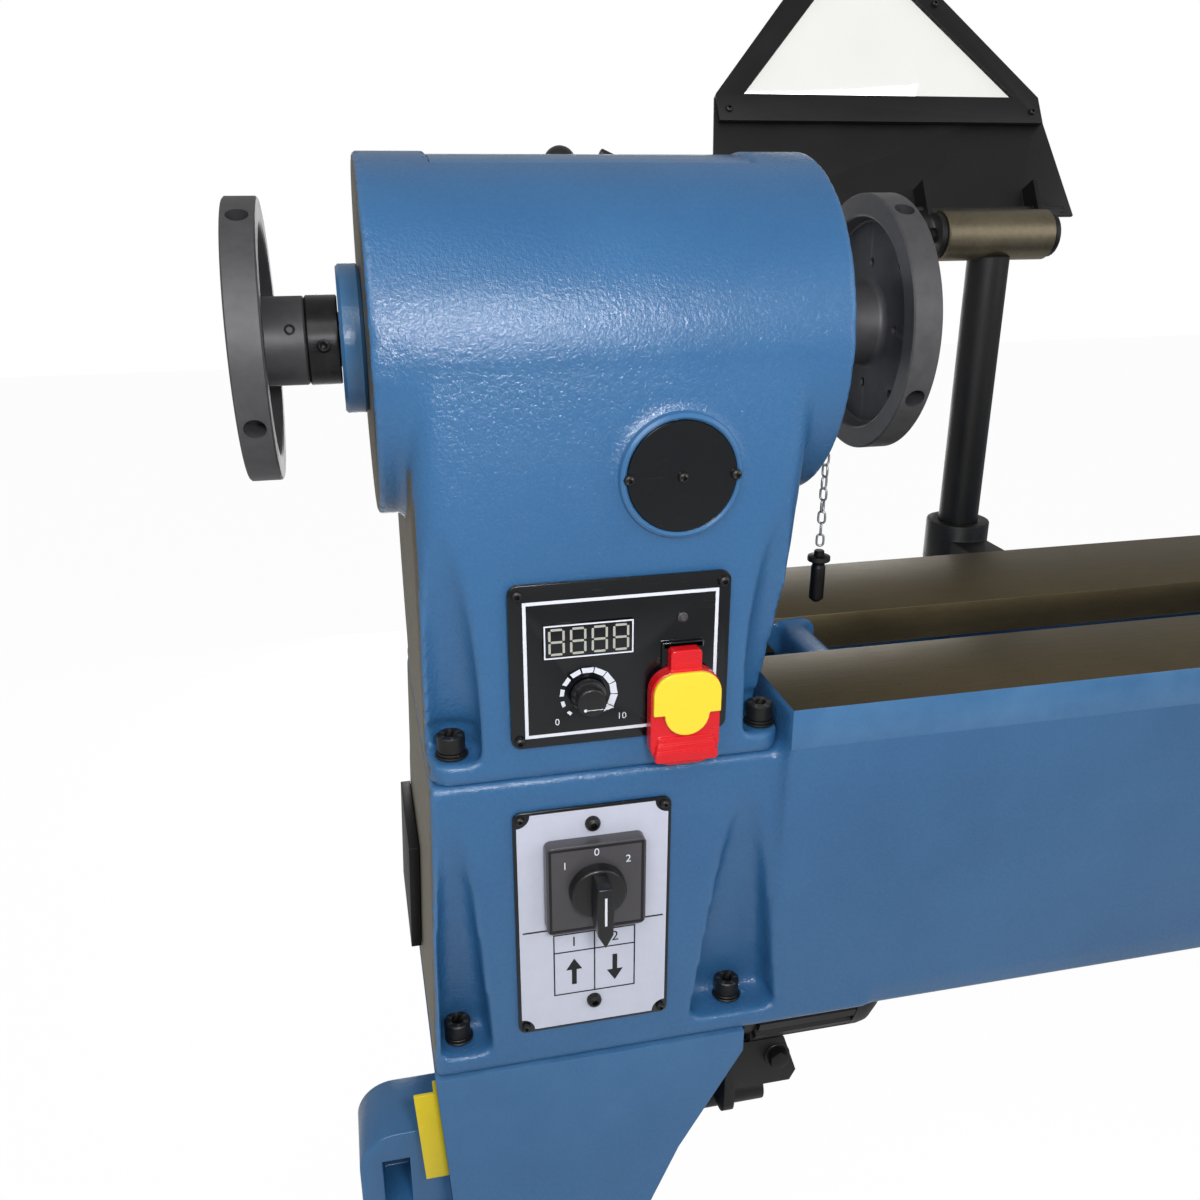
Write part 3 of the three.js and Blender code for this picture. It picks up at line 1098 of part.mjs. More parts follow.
// Tailstock: body on the ways, quill with its centre, handwheel, locks and clamp
const tailLeft = head.length + betweenCentres + centre.shank;
const tailMid = tailLeft + tail.baseLength / 2;
const tailBarrelLeft = tailMid - tail.barrelLength / 2;
const tailBarrelRight = tailMid + tail.barrelLength / 2;
const tailColumn = loft([
  [tailMid - tail.columnLength / 2, tailMid + tail.columnLength / 2, -tail.columnHalf * 1.5,
  tail.columnHalf * 1.5,
    waysHeight + tail.baseHeight / 2],
  [tailMid - tail.columnLength / 2.4, tailMid + tail.columnLength / 2.4, -tail.columnHalf * 0.8,
  tail.columnHalf * 0.8,
    spindleHeight - tail.barrelRadius * 1.6],
  [tailMid - tail.columnLength / 2.2, tailMid + tail.columnLength / 2.2, -tail.barrelRadius * 0.95,
  tail.barrelRadius * 0.95,
    spindleHeight],
], castIron.cornerRadius);
const tailBase = loft([
  [tailLeft, tailLeft + tail.baseLength, -bed.halfWidth, bed.halfWidth, waysHeight + gap],
  [tailLeft, tailLeft + tail.baseLength, -bed.halfWidth, bed.halfWidth,
  waysHeight + gap + tail.baseHeight * 0.7],
  [tailLeft + overrun, tailLeft + tail.baseLength - overrun, -bed.halfWidth + overrun,
  bed.halfWidth - overrun,
    waysHeight + tail.baseHeight],
], castIron.cornerRadius);
const tailKey = block(tailLeft + overrun, tailLeft + tail.baseLength - overrun, -bed.slotHalf + gap * 2,
  bed.slotHalf - gap * 2,
  waysHeight - tail.keyDepth, waysHeight + overrun);
const clampZ = waysHeight + tail.baseHeight + tail.clampShaft * 2;
const lockX = tailBarrelLeft + tail.barrelRadius;
const lockZ = spindleHeight + tail.barrelRadius;
add('tailstock_body', cut(
  join(tailBase, tailKey, tailColumn, barX(tailBarrelLeft, tailBarrelRight, 0, spindleHeight,
    tail.barrelRadius)),
  barX(tailBarrelLeft - overrun, tailBarrelRight - castIron.wall, 0, spindleHeight, tail.quillRadius + gap),
  barX(tailBarrelLeft, tailBarrelRight + overrun, 0, spindleHeight, tail.screw + gap),
  barY(-bed.halfWidth, bed.halfWidth, tailMid, clampZ, tail.clampShaft + gap),
  barZ(waysHeight - tail.keyDepth - overrun, clampZ, tailMid, 0, tail.boltRadius + gap, coarse),
  barZ(spindleHeight, lockZ + overrun, lockX, 0, tail.lockRadius + gap, coarse),
), finish.paint);
const quillLeft = tailBarrelLeft - tail.quillOut;
const quillRight = tailBarrelRight - castIron.wall - gap;
add('quill', ringX(quillLeft, quillRight, 0, spindleHeight, tail.quillRadius, tail.socket + gap, medium),
  finish.steel);
add('live_centre', turnedX([
  [quillLeft - gap - centre.bodyLength - centre.point, 0],
  [quillLeft - gap - centre.bodyLength, centre.body * 0.8],
  [quillLeft - gap - centre.bodyLength, centre.body],
  [quillLeft - gap, centre.body], [quillLeft - gap, tail.socket],
  [quillLeft + centre.shank, tail.socket * 0.8],
  [quillLeft + centre.shank, 0],
], 0, spindleHeight, medium), finish.steel);

// Handwheel: hub, spokes, rim and handle, with the screw that drives the quill
const wheelLeft = tailBarrelRight + gap;
const wheelX = wheelLeft + handwheel.hubLength - handwheel.rim;
const rimGeometry = new THREE.TorusGeometry(handwheel.radius - handwheel.rim, handwheel.rim, ringSides,
  medium);
rimGeometry.rotateY(quarter);
rimGeometry.translate(wheelX, 0, spindleHeight);
const spokes = Array.from({ length: handwheel.spokes }, (_, i) => {
  const angle = turn * (i + 0.25) / handwheel.spokes;
  const ray = point(0, Math.cos(angle), Math.sin(angle));
  return bar(point(wheelX, 0, spindleHeight), along(point(wheelX, 0, spindleHeight), ray,
    handwheel.radius - handwheel.rim),
    handwheel.spoke, handwheel.spoke * 0.8, coarse);
});
const handleAngle = turn * 0.25 / handwheel.spokes;
const handleSeat = along(point(wheelX, 0, spindleHeight),
  point(0, Math.cos(handleAngle), Math.sin(handleAngle)),
  handwheel.radius - handwheel.rim);
const handleLeft = handleSeat.x + handwheel.rim / 2;
const handleRight = handleSeat.x + handwheel.rim + handwheel.handleLength;
const handle = turnedX([
  [handleLeft, 0], [handleLeft, handwheel.handle * 0.6],
  [handleLeft + handwheel.handleLength * 0.4, handwheel.handle * 0.8],
  [handleLeft + handwheel.handleLength * 0.8, handwheel.handle], [handleRight, handwheel.handle * 0.7],
  [handleRight, 0],
], handleSeat.y, handleSeat.z, coarse);
add('handwheel', join(
  barX(wheelLeft, wheelLeft + handwheel.hubLength, 0, spindleHeight, handwheel.hub, medium),
    solidOf(rimGeometry), ...spokes,
  barX(quillLeft + centre.shank + tail.quillOut, wheelLeft + overrun, 0, spindleHeight, tail.screw,
    coarse), handle,
), finish.phosphate);
add('quill_lock_lever', ballLever(
  [point(lockX, 0, spindleHeight + tail.quillRadius + gap * 2),
  point(lockX, 0, lockZ + tail.lockRadius * 3)], tail.lockRadius,
  [point(lockX, 0, lockZ + tail.lockRadius * 2),
  point(lockX, -tail.lockLength * 0.8, lockZ + tail.lockLength / 3)],
  tail.lockRadius, tail.lockRadius * 2,
), finish.blackSteel);
const tailLeverY = -bed.halfWidth - tail.clampShaft;
add('tailstock_clamp_lever', ballLever(
  [point(tailMid, tailLeverY - tail.clampShaft, clampZ), point(tailMid, tail.columnHalf, clampZ)],
  tail.clampShaft,
  [point(tailMid, tailLeverY, clampZ), point(tailMid + tail.clampLever * 0.34,
  tailLeverY - tail.clampShaft, clampZ + tail.clampLever * 0.8)],
  tail.clampShaft * 0.7, tail.clampBall,
), finish.blackSteel);
add('tailstock_clamp', join(
  block(tailMid - banjo.plateLength / 2, tailMid + banjo.plateLength / 2, -banjo.plateHalf, banjo.plateHalf,
    wayUnder - gap - tail.plateThick, wayUnder - gap),
  barZ(wayUnder - gap * 2, clampZ - tail.clampShaft - gap, tailMid, 0, tail.boltRadius, coarse),
), finish.phosphate);

// Side box and hook on the headstock leg, inverter behind the bed's end
const legSlopeEnd = bedBottom - gap - leg.flange - (leg.topHalf * 2 - leg.waist) / leg.taper;
function legFace(z) {
  const above = (bedBottom - gap - z) / (bedBottom - gap - legSlopeEnd);
  const below = (legSlopeEnd - z) / (legSlopeEnd - foot.padHeight - leg.footHeight);
  return legLeft - gap + (z > legSlopeEnd ? leg.leftLean * above : leg.leftLean * (1 - below / 2));
}
const boxTop = bedBottom - sideBox.top;
const boxLeft = legLeft - gap - sideBox.reach;
const boxOutline = new THREE.Shape();
boxOutline.moveTo(boxLeft, boxTop - sideBox.height);
boxOutline.lineTo(legFace(boxTop - sideBox.height), boxTop - sideBox.height);
boxOutline.lineTo(legFace(legSlopeEnd), legSlopeEnd);
boxOutline.lineTo(legFace(boxTop), boxTop);
boxOutline.lineTo(boxLeft + sideBox.round, boxTop);
boxOutline.absarc(boxLeft + sideBox.round, boxTop - sideBox.round, sideBox.round, quarter, quarter * 2,
  false);
add('leg_side_box', cut(prismY(boxOutline, -sideBox.front, -sideBox.rear),
  block(boxLeft + sideBox.mouthIn, boxLeft + sideBox.mouthIn + sideBox.mouthWidth,
    -sideBox.front - overrun, -sideBox.front / 2,
    boxTop - sideBox.mouthDrop - sideBox.mouthHeight, boxTop - sideBox.mouthDrop)), finish.paint);

// Cover plate that follows the leaning end face of the bed
function endFace(z) {
  return head.footLeft - (seatHeight - z) * (head.footLeft - bed.headEnd) / (seatHeight - bedBottom) - gap;
}
const endPlateTop = seatHeight - endPlate.drop;
const endPlateLow = endPlateTop - endPlate.height;
add('end_cover', prismY(outline([
  [endFace(endPlateTop), endPlateTop], [endFace(endPlateTop) - endPlate.thick, endPlateTop],
  [endFace(endPlateLow) - endPlate.thick, endPlateLow], [endFace(endPlateLow), endPlateLow],
]), 0, endPlate.rear), finish.blackSteel);
const inverterFront = head.footDepth + gap;
const inverterTop = seatHeight - inverter.drop;
const inverterRibs = Array.from({ length: inverter.ribs }, (_, i) => {
  const pitch = inverter.width / (inverter.ribs + 1);
  const x = inverter.left + pitch * (i + 0.75);
  return block(x, x + pitch / 2, inverterFront + inverter.reach - inverter.ribDepth,
    inverterFront + inverter.reach + overrun,
    inverterTop - inverter.height + inverter.ribDepth, inverterTop - inverter.ribDepth);
});
add('inverter', cut(block(inverter.left, inverter.left + inverter.width, inverterFront,
  inverterFront + inverter.reach,
  inverterTop - inverter.height, inverterTop), ...inverterRibs), finish.blackPlastic);
const hookTop = bedBottom - hook.drop;
const hookFront = -hook.front;
const hookLow = hookTop - hook.width;
function hookStrip(out0, out1, y0, y1) {
  return prismY(outline([
    [legFace(hookLow) - out1, hookLow], [legFace(hookLow) - out0, hookLow],
    [legFace(hookTop) - out0, hookTop], [legFace(hookTop) - out1, hookTop],
  ]), y0, y1);
}
add('tool_hook', join(
  hookStrip(0, hook.thick, hookFront, hookFront + hook.lip),
  hookStrip(0, hook.reach, hookFront, hookFront + hook.thick),
), finish.yellow);

// The finished part stands on the floor, centred over its own footprint
const footprint = new THREE.Box3().setFromObject(lathe);
const middle = footprint.getCenter(new THREE.Vector3());
lathe.position.set(-middle.x, -middle.y, -footprint.min.z);
lathe.updateMatrixWorld(true);

export default lathe;
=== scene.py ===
"""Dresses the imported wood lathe: castings, turned parts, fittings, finishes, light and camera.

Lengths are written in millimetres, in the places of the part's source: x = 0 at the headstock's left
end, z = 0 at the floor, and -y towards the operator. Datum brings them to the frame's metres.
"""

import logging
import math
from dataclasses import dataclass
from enum import Enum
from typing import Callable, Iterable, Sequence

import bmesh
import bpy
from mathutils import Matrix, Vector


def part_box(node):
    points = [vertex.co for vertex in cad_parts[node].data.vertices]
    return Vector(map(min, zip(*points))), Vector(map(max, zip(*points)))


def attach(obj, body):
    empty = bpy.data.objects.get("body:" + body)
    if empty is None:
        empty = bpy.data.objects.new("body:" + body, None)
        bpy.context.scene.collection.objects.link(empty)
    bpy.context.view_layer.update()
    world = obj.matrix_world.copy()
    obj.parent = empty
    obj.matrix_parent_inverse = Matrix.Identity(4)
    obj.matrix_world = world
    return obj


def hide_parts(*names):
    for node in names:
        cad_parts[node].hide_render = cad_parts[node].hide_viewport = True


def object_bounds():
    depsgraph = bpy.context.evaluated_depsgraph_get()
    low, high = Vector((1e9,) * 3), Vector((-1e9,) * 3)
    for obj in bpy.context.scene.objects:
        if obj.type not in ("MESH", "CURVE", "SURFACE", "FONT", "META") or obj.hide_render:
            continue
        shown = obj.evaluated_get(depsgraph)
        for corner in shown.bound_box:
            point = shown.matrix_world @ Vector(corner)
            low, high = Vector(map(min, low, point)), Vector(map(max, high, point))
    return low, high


LOG = logging.getLogger("lathe")
MM = 0.001
TURN = math.tau
ORIGIN = Vector((0.0, 0.0, 0.0))
WHITE = (1.0, 1.0, 1.0, 1.0)
MOST_TRIANGLES = 190_000
Place = Sequence[float]
Flat = tuple[float, float]
Test = Callable[[object], bool]


# Places
@dataclass(frozen=True)
class Datum:
    """Where the part's own origin lies in the frame, in metres."""

    x: float
    y: float

    @classmethod
    def read(cls) -> "Datum":
        """The origin, from the headstock's left end and the spindle's centre line."""
        depths = [corner[1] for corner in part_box("spindle_shaft")]
        return cls(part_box("headstock_housing")[0][0], sum(depths) / 2)

    def at(self, x: float, y: float, z: float) -> Vector:
        """A place in the frame's metres from one in the part's millimetres."""
        return Vector((self.x + x * MM, self.y + y * MM, z * MM))

    def box(self, node: str) -> tuple[tuple[float, ...], tuple[float, ...]]:
        """The lowest and the highest corner of a CAD node, in the part's millimetres."""
        low, high = [((x - self.x) / MM, (y - self.y) / MM, z / MM) for x, y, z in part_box(node)]
        return low, high


class Axis(Enum):
    """A direction along which a piece is turned, drilled or pushed."""

    X = (1.0, 0.0, 0.0)
    Y = (0.0, 1.0, 0.0)
    Z = (0.0, 0.0, 1.0)

    @property
    def vector(self) -> Vector:
        """The direction as a vector."""
        return Vector(self.value)

    @property
    def turning(self) -> Matrix:
        """The turn that brings +Z to this direction."""
        return self.vector.to_track_quat("Z", "Y").to_matrix().to_4x4()


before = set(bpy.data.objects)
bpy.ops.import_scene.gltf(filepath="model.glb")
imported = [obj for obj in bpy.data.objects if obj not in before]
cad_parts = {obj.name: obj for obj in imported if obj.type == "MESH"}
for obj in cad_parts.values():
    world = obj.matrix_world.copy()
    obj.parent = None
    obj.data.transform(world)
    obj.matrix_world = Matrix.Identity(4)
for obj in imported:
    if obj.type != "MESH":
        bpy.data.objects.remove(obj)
CAD_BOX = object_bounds()
DATUM = Datum.read()
SPINDLE_HEIGHT = 1100.0


# Shader maths
class Wire:
    """A value socket of a shader, on which plain arithmetic adds Math nodes."""

    def __init__(self, graph: "Graph", socket: bpy.types.NodeSocket) -> None:
        """Keeps the socket and the graph that it belongs to."""
        self.graph = graph
        self.socket = socket

    def _math(self, operation: str, first: object, second: object) -> "Wire":
        """The result of one Math node."""
        return self.graph.add("ShaderNodeMath", {"operation": operation}, {0: first, 1: second})

    def __add__(self, other: object) -> "Wire":
        """self + other."""
        return self._math("ADD", self, other)

    def __radd__(self, other: object) -> "Wire":
        """other + self."""
        return self._math("ADD", other, self)

    def __sub__(self, other: object) -> "Wire":
        """self - other."""
        return self._math("SUBTRACT", self, other)

    def __rsub__(self, other: object) -> "Wire":
        """other - self."""
        return self._math("SUBTRACT", other, self)

    def __mul__(self, other: object) -> "Wire":
        """self * other."""
        return self._math("MULTIPLY", self, other)

    def __rmul__(self, other: object) -> "Wire":
        """other * self."""
        return self._math("MULTIPLY", other, self)


class Graph:
    """A node tree, with one method that adds any node."""

    def __init__(self, tree: bpy.types.NodeTree) -> None:
        """Starts with an empty tree."""
        self.tree = tree
        self.tree.nodes.clear()

    def link(self, value: object, socket: bpy.types.NodeSocket) -> None:
        """Feeds a socket by a Wire, or sets it to a plain value.

        Args:
            value: A Wire or a plain value.
            socket: The input that takes it.
        """
        if isinstance(value, Wire):
            self.tree.links.new(value.socket, socket)
        else:
            socket.default_value = value

    def finish(self, kind: str, surface: Wire) -> None:
        """Adds the output node and feeds it with the finished surface."""
        self.link(surface, self.tree.nodes.new(kind).inputs[0])

    def add(self, kind: str, settings: dict[str, object], inputs: dict[object, object],
            output: object = 0) -> Wire:
        """Adds a node.

        Args:
            kind: The node's type name.
            settings: Its properties, set first; a list under "ramp" holds the stops of a colour ramp.
            inputs: Its sockets by name or number, each with a value or a Wire.
            output: The name or number of the socket that is handed back.

        Returns:
            The chosen output.
        """
        node = self.tree.nodes.new(kind)
        for key, value in settings.items():
            if key == "ramp":
                self._stops(node.color_ramp, value)
            else:
                setattr(node, key, value)
        for key, value in inputs.items():
            self.link(value, node.inputs[key])
        return Wire(self, node.outputs[output])

    @staticmethod
    def _stops(ramp: bpy.types.ColorRamp, stops: Sequence[Flat]) -> None:
        """Sets the stops of a grey ramp, each a place and a level.

        Args:
            ramp: The node's ramp.
            stops: The place and the level of each stop.
        """
        while len(ramp.elements) < len(stops):
            ramp.elements.new(0.5)
        for element, (place, level) in zip(ramp.elements, stops):
            element.position = place
            element.color = (level, level, level, 1.0)


class Skin(Graph):
    """The node tree of one material, which ends in the Principled shader."""

    def __init__(self, name: str) -> None:
        """Starts a material that holds its shader and output alone.

        Args:
            name: The material's name.
        """
        self.material = bpy.data.materials.new(name)
        self.material.use_nodes = True
        super().__init__(self.material.node_tree)
        self.shader = self.tree.nodes.new("ShaderNodeBsdfPrincipled")
        self.finish("ShaderNodeOutputMaterial", Wire(self, self.shader.outputs[0]))
        self.place = self.add("ShaderNodeTexCoord", {}, {}, "Object")

    def noise(self, scale: float, detail: float = 2.0, rough: float = 0.5, place: Wire | None = None) -> Wire:
        """Cloudy noise with this many features to the metre."""
        return self.add("ShaderNodeTexNoise", {}, {"Vector": place or self.place, "Scale": scale,
                                                    "Detail": detail, "Roughness": rough})

    def stretched(self, scale: Place) -> Wire:
        """The object's places scaled by a different amount along each axis."""
        return self.add("ShaderNodeMapping", {}, {"Vector": self.place, "Scale": tuple(scale)})

    def ramp(self, value: Wire, *stops: Flat) -> Wire:
        """A value passed through a grey ramp."""
        return self.add("ShaderNodeValToRGB", {"ramp": stops}, {"Fac": value})

    def blend(self, share: object, first: object, second: object) -> Wire:
        """A colour between two, by a share from 0 to 1."""
        return self.add("ShaderNodeMix", {"data_type": "RGBA"}, {0: share, 6: first, 7: second}, 2)

    def edges(self, low: float = 0.52, high: float = 0.58) -> Wire:
        """1 on the outer edges of a fine mesh and 0 on its flats."""
        return self.ramp(self.add("ShaderNodeNewGeometry", {}, {}, "Pointiness"), (low, 0.0), (high, 1.0))

    def rings(self, pitch: float) -> Wire:
        """Turning marks round the spindle's line, by the distance from it in the YZ plane.

        Args:
            pitch: The distance between marks in millimetres.

        Returns:
            A value from 0 to 1.
        """
        centred = self.add("ShaderNodeVectorMath", {"operation": "SUBTRACT"},
                           {0: self.place, 1: (0.0, DATUM.y, SPINDLE_HEIGHT * MM)})
        flat = self.add("ShaderNodeVectorMath", {"operation": "MULTIPLY"}, {0: centred, 1: (0.0, 1.0, 1.0)})
        reach = self.add("ShaderNodeVectorMath", {"operation": "LENGTH"}, {0: flat}, "Value")
        wave = self.add("ShaderNodeMath", {"operation": "SINE"}, {0: reach * (TURN / (pitch * MM))})
        return wave * 0.5 + 0.5

    def surface(self, colour: object, rough: object, metal: object = 0.0, height: Wire | None = None,
                bump: float = 0.3, depth: float = 0.0005, **constants: float) -> bpy.types.Material:
        """Sets the shader.

        Args:
            colour: Base colour, as a Wire or four numbers.
            rough: Roughness, as a Wire or a number.
            metal: Metallic, as a Wire or a number.
            height: A height for the bump, or None.
            bump: The bump's strength.
            depth: The bump's distance in metres.
            **constants: More sockets of the shader by name, with _ for spaces.

        Returns:
            The finished material.
        """
        values: dict[str, object] = {"Base Color": colour, "Roughness": rough, "Metallic": metal}
        values.update({key.replace("_", " "): value for key, value in constants.items()})
        if height is not None:
            values["Normal"] = self.add("ShaderNodeBump", {}, {"Strength": bump, "Distance": depth,
                                                               "Height": height})
        for key, value in values.items():
            self.link(value, self.shader.inputs[key])
        return self.material


def shade(red: int, green: int, blue: int) -> tuple[float, float, float, float]:
    """A shader colour from one as it is seen, 0 to 255 each.

    Args:
        red: Red as it is seen.
        green: Green.
        blue: Blue.

    Returns:
        Linear red, green and blue, and an alpha of 1.
    """
    channels = [level / 255 for level in (red, green, blue)]
    linear = [level / 12.92 if level <= 0.04045 else ((level + 0.055) / 1.055) ** 2.4 for level in channels]
    return (linear[0], linear[1], linear[2], 1.0)


# Finishes
class Slot(Enum):
    """The record's material slots."""

    BLUE_PAINT = "blue_paint"
    GROUND_IRON = "ground_iron"
    PHOSPHATE = "phosphate"
    STEEL = "steel"
    BLACK_STEEL = "black_steel"
    BLACK_PLASTIC = "black_plastic"
    GREY_PLASTIC = "grey_plastic"
    PANEL_BLACK = "panel_black"
    LABEL_WHITE = "label_white"
    RED = "red"
    YELLOW = "yellow"
    RUBBER = "rubber"
    CLEAR = "clear"


class Body(Enum):
    """The record's bodies, on which the pieces ride."""

    BANJO = "banjo"
    BANJO_CLAMP = "banjo_clamp"
    BANJO_CLAMP_LEVER = "banjo_clamp_lever"
    BANJO_SLIDE_BLOCK = "banjo_slide_block"
    BELT_COVER = "belt_cover"
    COVER_LATCH = "cover_latch"
    GUARD = "guard"
    HANDWHEEL = "handwheel"
    LIVE_CENTRE = "live_centre"
    LOCK_PIN = "lock_pin"
    MOTOR = "motor"
    QUILL = "quill"
    QUILL_LOCK_LEVER = "quill_lock_lever"
    REST_COLLAR = "rest_collar"
    REST_LOCK_LEVER = "rest_lock_lever"
    SELECTOR_KNOB = "selector_knob"
    SPEED_KNOB = "speed_knob"
    SPINDLE = "spindle"
    STAND = "stand"
    STOP_PADDLE = "stop_paddle"
    TAILSTOCK = "tailstock"
    TAILSTOCK_CLAMP_LEVER = "tailstock_clamp_lever"
    TOOL_REST = "tool_rest"


@dataclass(frozen=True)
class Finish:
    """A finish of the machine: a name, the record's slot, and a material that is made once."""

    name: str
    slot: Slot

    def paint(self, graph: Skin) -> bpy.types.Material:
        """Builds the nodes; each kind of finish has its own."""
        raise NotImplementedError

    def material(self) -> bpy.types.Material:
        """The material, made at its first use."""
        made = bpy.data.materials.get(self.name)
        return made or self.paint(Skin(self.name))


@dataclass(frozen=True)
class HammerPaint(Finish):
    """Thick enamel on castings: a fine orange peel, cloudy depth, and paler edges that are partly wear and
    partly a painted highlight.
    """

    deep: tuple[float, ...] = shade(34, 80, 124)
    light: tuple[float, ...] = shade(58, 110, 158)
    edge_wear_and_highlight: tuple[float, ...] = shade(104, 150, 192)
    peel: float = 520.0
    strength: float = 0.85

    def paint(self, graph: Skin) -> bpy.types.Material:
        """Orange peel in the bump; clouds and paler edges in the colour, the edges partly wear and partly a
        painted highlight.

        Args:
            graph: The new material's nodes.

        Returns:
            The finished material.
        """
        swell = graph.noise(self.peel, 1.5, 0.45)
        grain = graph.noise(self.peel * 3.1, 1.0)
        cloud = graph.noise(7.0, 3.0, 0.6)
        patch = graph.ramp(graph.noise(34.0, 2.0), (0.35, 0.0), (0.75, 1.0))
        body = graph.blend(cloud * 0.7 + swell * 0.3, self.deep, self.light)
        # Painted highlight and wear: the outer edges turn a paler blue where light catches them and where the
        # paint wears thin.
        edge = graph.edges(0.515, 0.60) * 0.45 * (patch * 0.6 + 0.4)
        rough = 0.15 + grain * 0.08 + patch * 0.05
        return graph.surface(graph.blend(edge, body, self.edge_wear_and_highlight), rough, 0.0, swell * 0.62 + grain * 0.38,
                             self.strength, 0.00062, Specular_IOR_Level=0.62)


@dataclass(frozen=True)
class SawnIron(Finish):
    """Bare faced cast iron, dull olive grey, with milling marks and grime."""

    dark: tuple[float, ...] = shade(92, 86, 74)
    pale: tuple[float, ...] = shade(150, 142, 124)
    along: tuple[float, float, float] = (900.0, 60.0, 420.0)
    rough: float = 0.46

    def paint(self, graph: Skin) -> bpy.types.Material:
        """Fine marks along one way, stains in clouds.

        Args:
            graph: The new material's nodes.

        Returns:
            The finished material.
        """
        marks = graph.noise(1.0, 3.0, 0.6, graph.stretched(self.along))
        stain = graph.noise(16.0, 4.0, 0.65)
        pits = graph.ramp(graph.noise(480.0, 2.0), (0.62, 0.0), (0.74, 1.0))
        colour = graph.blend(marks * 0.45 + stain * 0.55, self.dark, self.pale)
        colour = graph.blend(pits * 0.35, colour, shade(52, 47, 40))
        return graph.surface(colour, self.rough + stain * 0.22 - marks * 0.1, 0.82, marks * 0.7 - pits * 0.3,
                             0.32, 0.0004)


@dataclass(frozen=True)
class Turned(Finish):
    """A metal turned round the spindle's line: rings in the bump and the sheen."""

    dark: tuple[float, ...] = shade(38, 38, 40)
    pale: tuple[float, ...] = shade(74, 73, 74)
    metal: float = 0.7
    rough: float = 0.38
    pitch: float = 0.7
    depth: float = 0.18

    def paint(self, graph: Skin) -> bpy.types.Material:
        """Turning rings, a soft mottle, and paler edges.

        Args:
            graph: The new material's nodes.

        Returns:
            The finished material.
        """
        ring = graph.rings(self.pitch)
        mottle = graph.noise(130.0, 3.0, 0.6)
        smear = graph.noise(22.0, 3.0, 0.55)
        colour = graph.blend(mottle * 0.55 + smear * 0.45, self.dark, self.pale)
        edge = graph.edges(0.53, 0.66) * (mottle * 0.8 + 0.2)
        colour = graph.blend(edge * 0.55, colour, shade(128, 124, 118))
        return graph.surface(colour, self.rough + smear * 0.2 - ring * 0.06, self.metal,
                             ring * 0.6 + mottle * 0.4, self.depth, 0.00025)


@dataclass(frozen=True)
class Steel(Finish):
    """Bright, brushed or blackened steel without turning rings."""

    dark: tuple[float, ...] = shade(142, 143, 146)
    pale: tuple[float, ...] = shade(196, 197, 199)
    metal: float = 1.0
    rough: float = 0.24
    grain: float = 420.0
    depth: float = 0.14

    def paint(self, graph: Skin) -> bpy.types.Material:
        """Fine grain, light stains and rubbed edges.

        Args:
            graph: The new material's nodes.

        Returns:
            The finished material.
        """
        grain = graph.noise(self.grain, 3.0, 0.6)
        stain = graph.noise(28.0, 3.0, 0.6)
        colour = graph.blend(stain * 0.6 + grain * 0.4, self.dark, self.pale)
        rub = graph.edges(0.54, 0.68) * (grain * 0.7 + 0.3)
        colour = graph.blend(rub * 0.4, colour, shade(176, 172, 166))
        rough = self.rough + stain * 0.18 + grain * 0.05
        return graph.surface(colour, rough, self.metal, grain, self.depth, 0.0002)


@dataclass(frozen=True)
class PowderCoat(Finish):
    """Baked black coat on folded sheet: fine texture, faint dust."""

    dark: tuple[float, ...] = shade(5, 5, 6)
    pale: tuple[float, ...] = shade(17, 17, 19)
    rough: float = 0.42

    def paint(self, graph: Skin) -> bpy.types.Material:
        """Pebbled coat with dust in clouds.

        Args:
            graph: The new material's nodes.

        Returns:
            The finished material.
        """
        pebble = graph.noise(900.0, 2.0, 0.5)
        dust = graph.ramp(graph.noise(11.0, 4.0, 0.6), (0.45, 0.0), (0.8, 1.0))
        colour = graph.blend(dust * 0.6 + pebble * 0.2, self.dark, self.pale)
        return graph.surface(colour, self.rough + dust * 0.16 + pebble * 0.06, 0.1, pebble, 0.35, 0.0003)


@dataclass(frozen=True)
class Moulded(Finish):
    """Moulded plastic: a soft sheen, flow marks and small scuffs."""

    dark: tuple[float, ...] = shade(14, 14, 15)
    pale: tuple[float, ...] = shade(26, 26, 28)
    rough: float = 0.3
    grain: float = 1400.0
    depth: float = 0.12

    def paint(self, graph: Skin) -> bpy.types.Material:
        """Fine grain and scuffs that dull the sheen.

        Args:
            graph: The new material's nodes.

        Returns:
            The finished material.
        """
        grain = graph.noise(self.grain, 2.0)
        flow = graph.noise(26.0, 3.0, 0.6)
        streaks = graph.noise(1.0, 4.0, 0.7, graph.stretched((60.0, 240.0, 520.0)))
        scuff = graph.ramp(streaks, (0.6, 0.0), (0.7, 1.0))
        colour = graph.blend(flow * 0.7 + scuff * 0.3, self.dark, self.pale)
        rough = self.rough + flow * 0.1 + scuff * 0.14
        return graph.surface(colour, rough, 0.0, grain + scuff * 0.3, self.depth, 0.00015, Coat_Weight=0.15,
                             Coat_Roughness=0.12)


@dataclass(frozen=True)
class Printed(Finish):
    """Ink on a plate: nearly flat, slightly uneven in tone."""

    colour: tuple[float, ...] = shade(214, 218, 228)
    rough: float = 0.42

    def paint(self, graph: Skin) -> bpy.types.Material:
        """A light unevenness of the ink film.

        Args:
            graph: The new material's nodes.

        Returns:
            The finished material.
        """
        film = graph.noise(160.0, 3.0, 0.6)
        faded = tuple(level * 0.72 for level in self.colour[:3]) + (1.0,)
        tone = graph.blend(film * 0.35, self.colour, faded)
        return graph.surface(tone, self.rough + film * 0.12, 0.0, film, 0.08, 0.0001)


